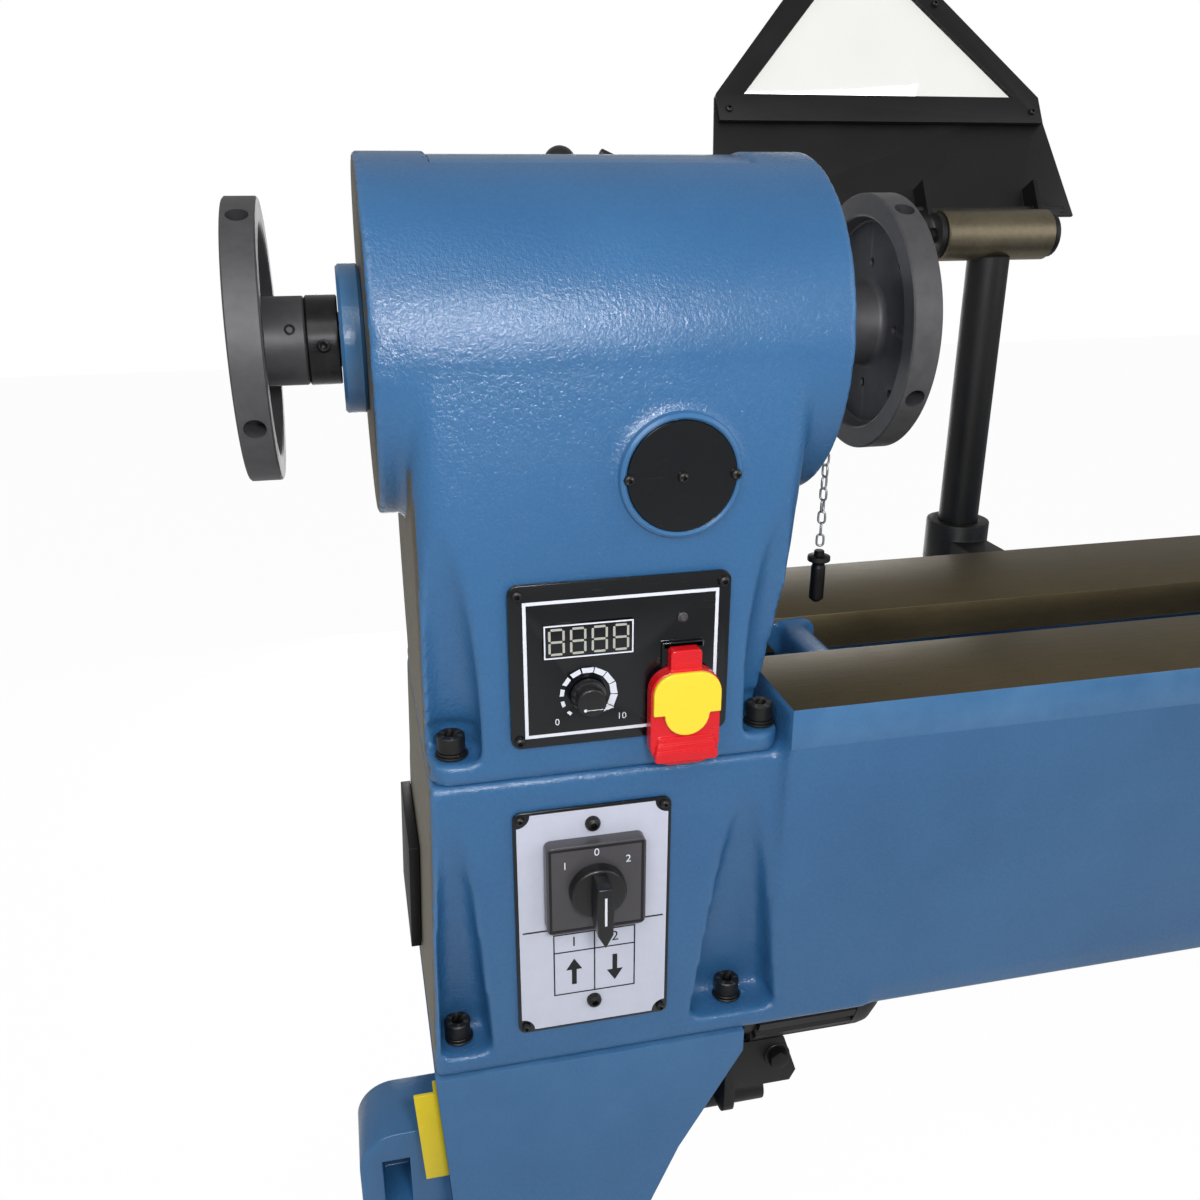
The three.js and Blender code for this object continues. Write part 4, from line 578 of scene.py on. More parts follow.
@dataclass(frozen=True)
class Elastic(Finish):
    """Black rubber: dull, with a fine bloom."""

    dark: tuple[float, ...] = shade(20, 20, 20)
    pale: tuple[float, ...] = shade(46, 45, 43)

    def paint(self, graph: Skin) -> bpy.types.Material:
        """Bloom in clouds over a dry grain.

        Args:
            graph: The new material's nodes.

        Returns:
            The finished material.
        """
        bloom = graph.noise(45.0, 4.0, 0.65)
        grain = graph.noise(1100.0, 2.0)
        colour = graph.blend(bloom, self.dark, self.pale)
        return graph.surface(colour, 0.72 + bloom * 0.2, 0.0, grain, 0.3, 0.0003)


@dataclass(frozen=True)
class ClearSheet(Finish):
    """Clear plastic sheet with a little dust on it."""

    tint: tuple[float, ...] = shade(246, 246, 243)

    def paint(self, graph: Skin) -> bpy.types.Material:
        """Dust that dulls the sheet in clouds.

        Args:
            graph: The new material's nodes.

        Returns:
            The finished material.
        """
        dust = graph.ramp(graph.noise(9.0, 5.0, 0.6), (0.4, 0.0), (0.85, 1.0))
        colour = graph.blend(dust * 0.12, self.tint, shade(205, 196, 180))
        return graph.surface(colour, 0.03 + dust * 0.1, 0.0, graph.noise(24.0), 0.03, 0.0005,
                             Transmission_Weight=0.94, IOR=1.05)


class Coats:
    """Every finish of this machine by its plain name."""

    ENAMEL = HammerPaint("blue_enamel", Slot.BLUE_PAINT)
    ENAMEL_SMOOTH = HammerPaint("blue_enamel_smooth", Slot.BLUE_PAINT, strength=0.3)
    FACED = SawnIron("faced_iron", Slot.GROUND_IRON)
    WAYS = SawnIron("ground_ways", Slot.GROUND_IRON, shade(74, 65, 46), shade(120, 108, 82),
                    (30.0, 900.0, 200.0), 0.38)
    PHOSPHATE = Turned("phosphate_turned", Slot.PHOSPHATE, shade(60, 60, 64), shade(96, 95, 98), 0.5, 0.42)
    PHOSPHATE_CAST = Steel("phosphate_cast", Slot.PHOSPHATE, shade(34, 34, 36), shade(62, 61, 62), 0.6, 0.42)
    BRIGHT_TURNED = Turned("steel_turned", Slot.STEEL, shade(150, 150, 152), shade(200, 200, 202), 1.0, 0.2,
                           0.5, 0.1)
    BRIGHT = Steel("steel_bright", Slot.STEEL)
    OXIDE = Steel("black_oxide", Slot.BLACK_STEEL, shade(15, 15, 17), shade(38, 37, 39), 0.75, 0.3, 700.0)
    OXIDE_TURNED = Turned("black_oxide_turned", Slot.BLACK_STEEL, shade(20, 20, 23), shade(44, 44, 48), 0.85,
                          0.2, 0.5, 0.1)
    POWDER = PowderCoat("black_powder_coat", Slot.BLACK_STEEL)
    BARE_TUBE = Steel("bare_tube", Slot.BLACK_STEEL, shade(84, 76, 60), shade(142, 132, 108), 0.9, 0.3, 260.0)
    KNOB = Moulded("black_knob", Slot.BLACK_PLASTIC)
    HOUSING = Moulded("black_housing", Slot.BLACK_PLASTIC, shade(18, 18, 19), shade(34, 34, 35), 0.5, 800.0,
                      0.3)
    SELECTOR = Moulded("selector_grey", Slot.GREY_PLASTIC, shade(58, 56, 60), shade(84, 82, 86), 0.32)
    PANEL = Moulded("panel_gloss", Slot.PANEL_BLACK, shade(6, 8, 12), shade(12, 14, 20), 0.14, 500.0, 0.04)
    LABEL = Printed("label_film", Slot.LABEL_WHITE, shade(198, 202, 218), 0.34)
    WHITE_INK = Printed("white_ink", Slot.LABEL_WHITE, shade(222, 226, 236))
    SEGMENT = Printed("segment_grey", Slot.LABEL_WHITE, shade(176, 176, 168))
    BLACK_INK = Printed("black_ink", Slot.PANEL_BLACK, shade(14, 15, 20))
    RED = Moulded("paddle_red", Slot.RED, shade(196, 10, 22), shade(232, 22, 36), 0.22, 600.0, 0.06)
    YELLOW = Moulded("key_yellow", Slot.YELLOW, shade(240, 206, 40), shade(252, 222, 66), 0.3, 600.0, 0.06)
    HOOK = Moulded("hook_yellow", Slot.YELLOW, shade(214, 190, 12), shade(240, 214, 24), 0.34, 700.0, 0.2)
    RUBBER = Elastic("rubber_dry", Slot.RUBBER)
    CLEAR = ClearSheet("clear_sheet", Slot.CLEAR)


# Hand operations
class Element(Enum):
    """What is picked in edit mode."""

    VERT = "VERT"
    EDGE = "EDGE"
    FACE = "FACE"


def deselect() -> None:
    """Deselects everything, so that an operator acts on the next piece alone."""
    bpy.ops.object.select_all(action="DESELECT")


def hold(obj: bpy.types.Object) -> None:
    """Selects one object alone and makes it the active one.

    Args:
        obj: The object.
    """
    deselect()
    obj.select_set(True)
    bpy.context.view_layer.objects.active = obj


class Piece:
    """One object on the bench, shaped by hand operations; every length it takes is in metres."""

    def __init__(self, obj: bpy.types.Object) -> None:
        """Keeps the object."""
        self.obj = obj

    @classmethod
    def _named(cls, name: str) -> "Piece":
        """The active object under its name, with its place applied to its mesh.

        Args:
            name: The piece's name.

        Returns:
            The piece.
        """
        obj = bpy.context.object
        obj.name = name
        obj.data.name = name
        bpy.ops.object.transform_apply(location=True, rotation=True, scale=True)
        return cls(obj)

    @classmethod
    def box(cls, name: str, low: Vector, high: Vector) -> "Piece":
        """A block between two corners.

        Args:
            name: The piece's name.
            low: The lowest corner.
            high: The highest corner.

        Returns:
            The piece.
        """
        deselect()
        bpy.ops.mesh.primitive_cube_add(size=1.0, location=(low + high) / 2, scale=high - low)
        return cls._named(name)

    @classmethod
    def rod(cls, name: str, start: Vector, end: Vector, radius: float, sides: int = 32) -> "Piece":
        """A round rod between two places.

        Args:
            name: The piece's name.
            start: The middle of one end.
            end: The middle of the other end.
            radius: The rod's radius.
            sides: How many sides it has; 6 for a hexagon.

        Returns:
            The piece.
        """
        deselect()
        along = end - start
        bpy.ops.mesh.primitive_cone_add(vertices=sides, radius1=radius, radius2=radius, depth=along.length,
                                        location=(start + end) / 2,
                                        rotation=along.to_track_quat("Z", "Y").to_euler())
        return cls._named(name)

    @classmethod
    def ring(cls, name: str, centre: Vector, axis: Axis, radius: float, wire: float, sides: int = 32,
             around: int = 12) -> "Piece":
        """A round wire ring.

        Args:
            name: The piece's name.
            centre: The ring's centre.
            axis: The way that it is turned about.
            radius: From the centre to the middle of the wire.
            wire: The wire's own radius.
            sides: Steps round the ring.
            around: Steps round the wire.

        Returns:
            The piece.
        """
        deselect()
        bpy.ops.mesh.primitive_torus_add(major_radius=radius, minor_radius=wire, major_segments=sides,
                                         minor_segments=around, location=centre,
                                         rotation=axis.turning.to_euler())
        return cls._named(name)

    @classmethod
    def trace(cls, name: str, places: Sequence[Vector], closed: bool) -> "Piece":
        """A line drawn from place to place by extruding one vertex.

        Args:
            name: The piece's name.
            places: The places in metres.
            closed: Whether the line comes back to its start.

        Returns:
            The piece, still without faces.
        """
        deselect()
        bpy.ops.mesh.primitive_plane_add(size=MM, location=ORIGIN)
        piece = cls(bpy.context.object)
        piece.obj.name = name
        bpy.ops.object.mode_set(mode="EDIT")
        bpy.ops.mesh.select_mode(type="VERT")
        bpy.ops.mesh.select_all(action="SELECT")
        bpy.ops.mesh.merge(type="CENTER")
        here = places[0]
        bpy.ops.transform.translate(value=here)
        for place in places[1:] + ([places[0]] if closed else []):
            bpy.ops.mesh.extrude_vertices_move(TRANSFORM_OT_translate={"value": place - here})
            here = place
        bpy.ops.mesh.select_all(action="SELECT")
        if closed:
            bpy.ops.mesh.remove_doubles(threshold=1e-6)
        bpy.ops.object.mode_set(mode="OBJECT")
        return piece

    @classmethod
    def lathe(cls, name: str, profile: Sequence[Flat], centre: Vector, axis: Axis,
              sides: int = 96, closed: bool = False) -> "Piece":
        """A profile spun round an axis.

        Args:
            name: The piece's name.
            profile: Places as (distance along the axis, radius) in millimetres, the distance measured
                from the centre.
            centre: A place on the axis in metres.
            axis: The axis's direction.
            sides: How many steps the full turn has.
            closed: Whether the profile closes on itself, as it does for a ring.

        Returns:
            The closed turned piece.
        """
        out = Axis.Z.vector if axis is not Axis.Z else Axis.X.vector
        places = [centre + axis.vector * (along * MM) + out * (radius * MM) for along, radius in profile]
        piece = cls.trace(name, places, closed)
        with piece.editing():
            bpy.ops.mesh.select_all(action="SELECT")
            bpy.ops.mesh.spin(steps=sides, angle=TURN, center=centre, axis=axis.vector)
            bpy.ops.mesh.select_all(action="SELECT")
            bpy.ops.mesh.remove_doubles(threshold=2e-6)
            bpy.ops.mesh.normals_make_consistent(inside=False)
        return piece

    @classmethod
    def plate(cls, name: str, places: Sequence[Vector], depth: Vector) -> "Piece":
        """A flat outline filled and pushed out by a depth.

        Args:
            name: The piece's name.
            places: The outline, place by place.
            depth: How far it is pushed.

        Returns:
            The piece.
        """
        piece = cls.trace(name, list(places), True)
        with piece.editing():
            bpy.ops.mesh.select_all(action="SELECT")
            bpy.ops.mesh.edge_face_add()
            bpy.ops.mesh.extrude_region_move(TRANSFORM_OT_translate={"value": depth})
            bpy.ops.mesh.select_all(action="SELECT")
            bpy.ops.mesh.normals_make_consistent(inside=False)
        return piece

    @classmethod
    def copy_of(cls, name: str, node: str) -> "Piece":
        """A merged copy of a CAD node, to be worked on.

        Args:
            name: The piece's name.
            node: The CAD node.

        Returns:
            The piece.
        """
        deselect()
        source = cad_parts[node]
        obj = bpy.data.objects.new(name, source.data.copy())
        bpy.context.collection.objects.link(obj)
        obj.data.materials.clear()
        piece = cls(obj)
        with piece.editing():
            bpy.ops.mesh.select_all(action="SELECT")
            bpy.ops.mesh.remove_doubles(threshold=2e-6)
        return piece

    def editing(self) -> "Editing":
        """A stretch of work in edit mode."""
        return Editing(self.obj)

    def pick(self, kind: Element, test: Test) -> int:
        """Selects, in edit mode, the vertices, edges or faces that pass a test.

        Args:
            kind: What is picked.
            test: Takes a bmesh element and says whether it is picked.

        Returns:
            How many were picked.
        """
        bpy.ops.mesh.select_mode(type=kind.value)
        bpy.ops.mesh.select_all(action="DESELECT")
        shape = bmesh.from_edit_mesh(self.obj.data)
        shape.normal_update()
        group = {Element.VERT: shape.verts, Element.EDGE: shape.edges, Element.FACE: shape.faces}[kind]
        picked = [element for element in group if test(element)]
        for element in picked:
            element.select_set(True)
        shape.select_flush_mode()
        bmesh.update_edit_mesh(self.obj.data, loop_triangles=False, destructive=False)
        return len(picked)

    def bevel(self, width: float, segments: int = 2) -> "Piece":
        """Rounds every edge sharper than 30 degrees.

        Args:
            width: The width of the bevel.
            segments: How many steps round it off.

        Returns:
            The piece.
        """
        with self.editing():
            if self.pick(Element.EDGE, sharp):
                bpy.ops.mesh.bevel(offset=width, offset_type="OFFSET", segments=segments, profile=0.5,
                                   affect="EDGES", clamp_overlap=True)
        return self

    def tidy(self) -> "Piece":
        """Makes the flats whole again after the CAD's triangles.

        Returns:
            The piece.
        """
        with self.editing():
            bpy.ops.mesh.select_all(action="SELECT")
            bpy.ops.mesh.dissolve_limited(angle_limit=0.01)
        return self

    def rename(self, name: str) -> "Piece":
        """Gives the object and its mesh a name.

        Args:
            name: The new name.

        Returns:
            The piece.
        """
        self.obj.name = name
        self.obj.data.name = name
        return self

    def paint_faces(self, finish: Finish, test: Test) -> "Piece":
        """Gives the picked faces a second finish.

        Args:
            finish: The second finish.
            test: Says whether a face takes it.

        Returns:
            The piece.
        """
        self.obj.data.materials.append(finish.material())
        index = len(self.obj.data.materials) - 1
        with self.editing():
            self.pick(Element.FACE, test)
            self.obj.active_material_index = index
            bpy.ops.object.material_slot_assign()
        return self

    def modify(self, kind: str, **settings: object) -> "Piece":
        """Adds a modifier, sets it and applies it.

        Args:
            kind: The modifier's type.
            **settings: Its properties by name.

        Returns:
            The piece.
        """
        hold(self.obj)
        modifier = self.obj.modifiers.new(kind.lower(), kind)
        for key, value in settings.items():
            setattr(modifier, key, value)
        bpy.ops.object.modifier_apply(modifier=modifier.name)
        return self

    def cut(self, *tools: "Piece") -> "Piece":
        """Cuts the tools out of the piece and removes them.

        Args:
            *tools: The pieces that are taken away.

        Returns:
            The piece.
        """
        for tool in tools:
            self.modify("BOOLEAN", operation="DIFFERENCE", object=tool.obj, solver="EXACT")
            bpy.data.objects.remove(tool.obj, do_unlink=True)
        return self

    @staticmethod
    def joined(name: str, parts: Sequence["Piece"]) -> "Piece":
        """Several pieces made one object with one mesh.

        Args:
            name: The name of the joined piece.
            parts: The pieces, at least two.

        Returns:
            The piece.
        """
        hold(parts[0].obj)
        for part in parts[1:]:
            part.obj.select_set(True)
        bpy.ops.object.join()
        return parts[0].rename(name)

    def join(self, *others: "Piece") -> "Piece":
        """Joins the others into this object, which keeps its name."""
        return Piece.joined(self.obj.name, [self, *others])

    def moved(self, matrix: Matrix) -> "Piece":
        """Moves the mesh by a matrix and leaves the object at the origin.

        Args:
            matrix: The move, turn and scale.

        Returns:
            The piece.
        """
        hold(self.obj)
        self.obj.matrix_world = matrix
        bpy.ops.object.transform_apply(location=True, rotation=True, scale=True)
        return self

    def copies(self, matrices: Iterable[Matrix]) -> "Piece":
        """This piece at each of several places, joined, each copy with its own mesh.

        Args:
            matrices: One for each copy.

        Returns:
            The piece.
        """
        name = self.obj.name
        others = []
        for matrix in matrices:
            obj = self.obj.copy()
            obj.data = self.obj.data.copy()
            bpy.context.collection.objects.link(obj)
            others.append(Piece(obj).moved(matrix))
        bpy.data.objects.remove(self.obj, do_unlink=True)
        return Piece.joined(name, others)

    def smooth(self, angle: float = 35.0) -> "Piece":
        """Shades the piece smooth up to an angle in degrees.

        Args:
            angle: The greatest angle that looks round.

        Returns:
            The piece.
        """
        hold(self.obj)
        bpy.ops.object.shade_smooth_by_angle(angle=math.radians(angle))
        return self

    def soften(self, voxel: float, passes: int = 6) -> "Piece":
        """Turns a sharp solid into a cast one with rounded edges and fillets.

        Args:
            voxel: The voxel size in millimetres, which sets the radius of the edges.
            passes: How often the surface is smoothed.

        Returns:
            The piece.
        """
        self.modify("REMESH", mode="VOXEL", voxel_size=voxel * MM, adaptivity=0.0)
        self.modify("SMOOTH", factor=0.5, iterations=passes)
        count = sum(len(polygon.vertices) - 2 for polygon in self.obj.data.polygons)
        if count > MOST_TRIANGLES:
            self.modify("DECIMATE", decimate_type="COLLAPSE", ratio=MOST_TRIANGLES / count)
        return self

    def true_round(self, start: Vector, end: Vector, radius: float, slack: float, ahead: Test) -> "Piece":
        """Draws the faceted round of a casting on to a true cylinder.

        Args:
            start: One end of the cylinder's line.
            end: The other end.
            radius: Its radius in metres.
            slack: How far off the cylinder a vertex may lie to be drawn on to it, in metres.
            ahead: A further test of a vertex's place.

        Returns:
            The piece.
        """
        line = (end - start).normalized()
        length = (end - start).length
        guide = Piece.rod("guide_round", start - line * 0.02, end + line * 0.02, radius, 256)

        def near(vertex: object) -> bool:
            """Whether a vertex lies close to the cylinder between its ends.

            Args:
                vertex: A vertex of the casting.

            Returns:
                True where it is drawn on to the cylinder.
            """
            offset = vertex.co - start
            along = offset.dot(line)
            reach = (offset - line * along).length
            on_side = abs(vertex.normal.dot(line)) < 0.35
            return on_side and 0.0 <= along <= length and abs(reach - radius) < slack and ahead(vertex.co)

        group = self.obj.vertex_groups.new(name="round")
        with self.editing():
            if self.pick(Element.VERT, near):
                bpy.ops.object.vertex_group_assign()
        self.modify("SHRINKWRAP", target=guide.obj, wrap_method="NEAREST_SURFACEPOINT",
                    vertex_group=group.name)
        self.obj.vertex_groups.clear()
        bpy.data.objects.remove(guide.obj, do_unlink=True)
        return self

    def dress(self, finish: Finish, body: Body, *nodes: str, slot: Slot | None = None) -> "Piece":
        """Gives the piece its finish, its body and the nodes that it stands for.

        Args:
            finish: The finish of its first material.
            body: The CAD body that it rides on.
            *nodes: The CAD nodes that it replaces.
            slot: The record's slot, if it isn't the finish's own. Not used.

        Returns:
            The piece.
        """
        materials = self.obj.data.materials
        if len(materials):
            materials[0] = finish.material()
        else:
            materials.append(finish.material())
        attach(self.obj, body.value)
        if nodes:
            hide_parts(*nodes)
        LOG.info("%s rides on %s", self.obj.name, body.value)
        return self


class Editing:
    """Edit mode on one object, left again at the end of the with block."""

    def __init__(self, obj: bpy.types.Object) -> None:
        """Keeps the object."""
        self.obj = obj

    def __enter__(self) -> None:
        """Goes into edit mode with this object alone."""
        hold(self.obj)
        bpy.ops.object.mode_set(mode="EDIT")
        bpy.ops.mesh.select_mode(type="VERT")

    def __exit__(self, *_: object) -> None:
        """Goes back to object mode."""
        bpy.ops.object.mode_set(mode="OBJECT")


# Tests and profiles
def sharp(edge: object) -> bool:
    """Whether an edge turns by more than about 30 degrees."""
    return edge.is_manifold and edge.calc_face_angle(0.0) > 0.52


def chamfered(corners: Sequence[Flat], ease: float) -> list[Flat]:
    """A profile whose inner corners are cut back by a small ease, in millimetres.

    Args:
        corners: The profile, place by place.
        ease: How far each corner is cut back.

    Returns:
        The new profile, with the same ends.
    """
    places = [corners[0]]
    for before, here, after in zip(corners, corners[1:], corners[2:]):
        for other in (before, after):
            reach = math.dist(here, other)
            share = min(ease / reach, 0.45) if reach else 0.0
            places.append((here[0] + (other[0] - here[0]) * share, here[1] + (other[1] - here[1]) * share))
    places.append(corners[-1])
    return places


def ring_profile(corners: Sequence[Flat], ease: float) -> list[Flat]:
    """A closed profile with every corner cut back by a small ease, in millimetres."""
    return chamfered([corners[-1], *corners, corners[0]], ease)[1:-1]


# Shapes drawn on the bench
def at(x: float, y: float, z: float) -> Vector:
    """A place in the frame from the part's millimetres."""
    return DATUM.at(x, y, z)


def arc(centre: Flat, radius: float, start: float, end: float, steps: int = 8) -> list[Flat]:
    """Places on an arc in a flat drawing, with its angles in degrees from the first axis."""
    angles = [math.radians(start + (end - start) * i / steps) for i in range(steps + 1)]
    return [(centre[0] + radius * math.cos(angle), centre[1] + radius * math.sin(angle)) for angle in angles]


def rounded(left: float, right: float, low: float, high: float, radius: float) -> list[Flat]:
    """A rectangle with round corners.

    Args:
        left: The left side.
        right: The right side.
        low: The lower side.
        high: The upper side.
        radius: The corners' radius.

    Returns:
        The outline, place by place.
    """
    inner = ((right - radius, low + radius, -90), (right - radius, high - radius, 0),
             (left + radius, high - radius, 90), (left + radius, low + radius, 180))
    return [place for x, z, turn in inner for place in arc((x, z), radius, turn, turn + 90, 5)]


def notched(left: float, right: float, low: float, high: float, radius: float) -> list[Flat]:
    """A rectangle whose corners are hollowed by quarter rounds."""
    corners = ((right, low, 180), (right, high, 270), (left, high, 0), (left, low, 90))
    return [place for x, z, turn in corners for place in arc((x, z), radius, turn, turn - 90, 6)]


def rectangle(left: float, right: float, low: float, high: float) -> list[Flat]:
    """A plain rectangle."""
    return [(left, low), (right, low), (right, high), (left, high)]


def print_on(name: str, drawing: Sequence[Flat], y: float, thick: float = 0.15) -> Piece:
    """A thin flat shape on a front face, drawn in x and z and standing out towards the operator."""
    return Piece.plate(name, [at(x, y, z) for x, z in drawing], Vector((0.0, -thick * MM, 0.0)))


def outline_print(name: str, box: Place, width: float, y: float) -> Piece:
    """A thin printed frame line; the box is left, right, low and high.

    Args:
        name: The piece's name.
        box: The outer rectangle.
        width: The line's width.
        y: The face that it lies on.

    Returns:
        The piece.
    """
    left, right, low, high = box
    outer = rectangle(left, right, low, high)
    inner = rectangle(left + width, right - width, low + width, high - width)
    sides = [print_on(f"{name}_{i}", [outer[i], outer[(i + 1) % 4], inner[(i + 1) % 4], inner[i]], y)
             for i in range(4)]
    return Piece.joined(name, sides)


def number(name: str, text: str, centre: Flat, height: float, y: float) -> Piece:
    """A plain number on a front face.

    Args:
        name: The piece's name.
        text: The figures.
        centre: Its middle, as x and z.
        height: The figures' height.
        y: The face that it lies on.

    Returns:
        The piece.
    """
    deselect()
    bpy.ops.object.text_add(location=ORIGIN)
    label = bpy.context.object
    label.name = name
    label.data.body = text
    label.data.size = height * MM * 1.4
    label.data.align_x = "CENTER"
    label.data.align_y = "CENTER"
    label.data.extrude = 0.06 * MM
    label.data.resolution_u = 4
    bpy.ops.object.convert(target="MESH")
    label = bpy.context.object
    label.name = name
    x, z = centre
    return Piece(label).moved(Matrix.Translation(at(x, y, z)) @ Matrix.Rotation(math.pi / 2, 4, "X"))


def pan_screw(name: str, radius: float, sides: int = 20) -> Piece:
    """A domed screw head with a round driver socket, at the origin and facing -Y.

    Args:
        name: The piece's name.
        radius: The head's radius in millimetres.
        sides: Steps round it.

    Returns:
        The piece.
    """
    steps = ((0.5, 0.0), (0.5, 1.0), (-0.35, 1.0), (-0.7, 0.84), (-0.92, 0.45), (-0.5, 0.38), (-0.5, 0.0))
    profile = [(along * radius, reach * radius) for along, reach in steps]
    return Piece.lathe(name, profile, ORIGIN, Axis.Y, sides)


def carry_over(finish: Finish, *nodes: str) -> None:
    """Gives CAD nodes that keep their own shape a finish.

    Args:
        finish: The finish.
        *nodes: The nodes' names.
    """
    for node in nodes:
        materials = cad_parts[node].data.materials
        materials.clear()
        materials.append(finish.material())
        LOG.info("%s keeps its shape", node)


def eased(name: str, node: str, width: float, finish: Finish, body: Body, segments: int = 2) -> Piece:
    """A copy of a CAD node with its flats made whole and its edges rounded, in millimetres."""
    piece = Piece.copy_of(name, node).tidy().bevel(width * MM, segments).smooth()
    return piece.dress(finish, body, node)


def moulded(name: str, node: str, voxel: float, finish: Finish, body: Body, passes: int = 4) -> Piece:
    """A copy of a CAD node softened all over, as a casting or moulding is."""
    return Piece.copy_of(name, node).soften(voxel, passes).smooth(60.0).dress(finish, body, node)


def bare_left_end(piece: Piece, depth: float) -> None:
    """Bares the machined faces at a casting's left end, down to a depth in millimetres."""
    limit = at(depth, 0.0, 0.0).x
    piece.paint_faces(Coats.FACED, lambda face: face.normal.x < -0.93 and face.calc_center_median().x < limit)


def seats_on(y: float, places: Sequence[Flat]) -> list[Matrix]:
    """Places on a front face at y, each given as x and z."""
    return [Matrix.Translation(at(x, y, z)) for x, z in places]


class SubAssembly:
    """A group of pieces that is built and dressed together."""

    def build(self) -> None:
        """Builds every piece of the group."""
        raise NotImplementedError


# Castings
@dataclass
class Headstock(SubAssembly):
    """The round headstock casting with its chain eye and inspection cover."""

    length: float = 254.0
    radius: float = 98.3
    voxel: float = 2.4
    passes: int = 8
    slack: float = 2.4
    seam: float = 2.0
    join_left: float = 13.0
    join_right: float = 14.0
    bare_depth: float = 17.0
    eye_out: float = 8.0
    eye_y: float = -50.0
    eye_z: float = 1040.0
    eye_radius: float = 3.1
    eye_wire: float = 0.9
    cover_x: float = 157.5
    cover_z: float = 1037.0
    cover_face: float = -100.8
    cover_radius: float = 30.2
    rim_radius: float = 34.0
    screw_reach: float = 29.5

    def build(self) -> None:
        """Builds the casting, the eye and the inspection cover."""
        self.casting()
        self.chain_eye()
        self.inspection()

    def casting(self) -> None:
        """Softens the casting, keeps its barrel round and bares its machined left faces."""
        piece = Piece.copy_of("headstock_casting", "headstock_housing")
        with piece.editing():
            bpy.ops.mesh.select_all(action="SELECT")
            bpy.ops.mesh.bisect(plane_co=at(self.length + 0.05, 0.0, 0.0), plane_no=Axis.X.value,
                                use_fill=True, clear_outer=True)
        piece.soften(self.voxel, self.passes)
        piece.true_round(at(0.0, 0.0, SPINDLE_HEIGHT), at(self.length, 0.0, SPINDLE_HEIGHT), self.radius * MM,
                         self.slack * MM, self.clear_of_column)
        piece.smooth(50.0).dress(Coats.ENAMEL, Body.STAND, "headstock_housing")
        bare_left_end(piece, self.bare_depth)

    def clear_of_column(self, place: Vector) -> bool:
        """Whether a place on the barrel is away from where the column joins it.

        Args:
            place: The place in metres.

        Returns:
            Whether it may be drawn on to the barrel.
        """
        x = (place.x - DATUM.x) / MM
        above = place.z > (SPINDLE_HEIGHT - self.seam) * MM
        return above or x < self.join_left or x > self.length - self.join_right

    def chain_eye(self) -> None:
        """A round ring on a stem in the barrel's right end."""
        x = self.length + self.eye_out
        stem = [(-12.0, 0.0), (-12.0, 1.9), (-2.2, 1.9), (-1.6, 1.4), (-0.7, 1.2), (-0.7, 0.0)]
        foot = at(x - self.eye_radius, self.eye_y, self.eye_z)
        ring = Piece.ring("eye_ring", at(x, self.eye_y, self.eye_z), Axis.Y, self.eye_radius * MM,
                          self.eye_wire * MM)
        eye = Piece.lathe("chain_eye", stem, foot, Axis.X, 24).join(ring)
        eye.smooth().dress(Coats.BRIGHT, Body.STAND)

    def inspection(self) -> None:
        """A raised rim, a black disc and three screws."""
        centre = at(self.cover_x, self.cover_face, self.cover_z)
        rim = ring_profile([(3.0, self.cover_radius + 0.4), (-2.6, self.cover_radius + 0.4),
                            (-2.6, self.rim_radius - 0.6), (3.0, self.rim_radius + 1.2)], 1.1)
        raised = Piece.lathe("inspection_rim", rim, centre, Axis.Y, 96, True)
        raised.smooth().dress(Coats.ENAMEL_SMOOTH, Body.STAND)
        disc = chamfered([(0.0, 0.0), (0.0, self.cover_radius), (-2.2, self.cover_radius), (-2.5, 0.0)], 0.4)
        cover = Piece.lathe("inspection_disc", disc, centre, Axis.Y)
        cover.smooth().dress(Coats.PANEL, Body.STAND, "inspection_cover", slot=Slot.BLACK_STEEL)
        seats = [Matrix.Translation(centre + Vector((reach, -2.6 * MM, 0.0)))
                 for reach in (-self.screw_reach * MM, 0.0, self.screw_reach * MM)]
        pan_screw("inspection_screws", 2.9).copies(seats).smooth().dress(Coats.OXIDE, Body.STAND)


@dataclass
class Bed(SubAssembly):
    """The bed casting with its two ground ways."""

    left: float = 226.5
    right: float = 1613.8
    top: float = 895.15
    under: float = 868.85
    slot_half: float = 29.85
    front: float = -109.15
    rear: float = 131.1
    edge: float = 0.9
    voxel: float = 3.2
    passes: int = 9
    bare_depth: float = 16.5

    def build(self) -> None:
        """Builds the casting and lays the ways on it."""
        piece = Piece.copy_of("bed_casting", "bed").soften(self.voxel, self.passes).smooth(50.0)
        piece.dress(Coats.ENAMEL, Body.STAND, "bed")
        bare_left_end(piece, self.bare_depth)
        self.way("front_way", self.front, -self.slot_half, 1.0)
        self.way("rear_way", self.slot_half, self.rear, -1.0)

    def way(self, name: str, near: float, far: float, inner: float) -> None:
        """One way, a long bar with fine chamfers: ground on its top and its slot side, painted elsewhere.

        Args:
            name: The piece's name.
            near: The y of its side towards the operator.
            far: The y of its other side.
            inner: 1 where the slot is on its +Y side, and -1 where it is on its -Y side.
        """
        section = [(near, self.under), (far, self.under), (far, self.top), (near, self.top)]
        length = Vector(((self.right - self.left) * MM, 0.0, 0.0))
        bar = Piece.plate(name, [at(self.left, y, z) for y, z in section], length)
        bar.bevel(self.edge * MM, 2).smooth().dress(Coats.WAYS, Body.STAND)
        bar.paint_faces(Coats.ENAMEL_SMOOTH, lambda face: face.normal.z < 0.5 and face.normal.y * inner < 0.5)


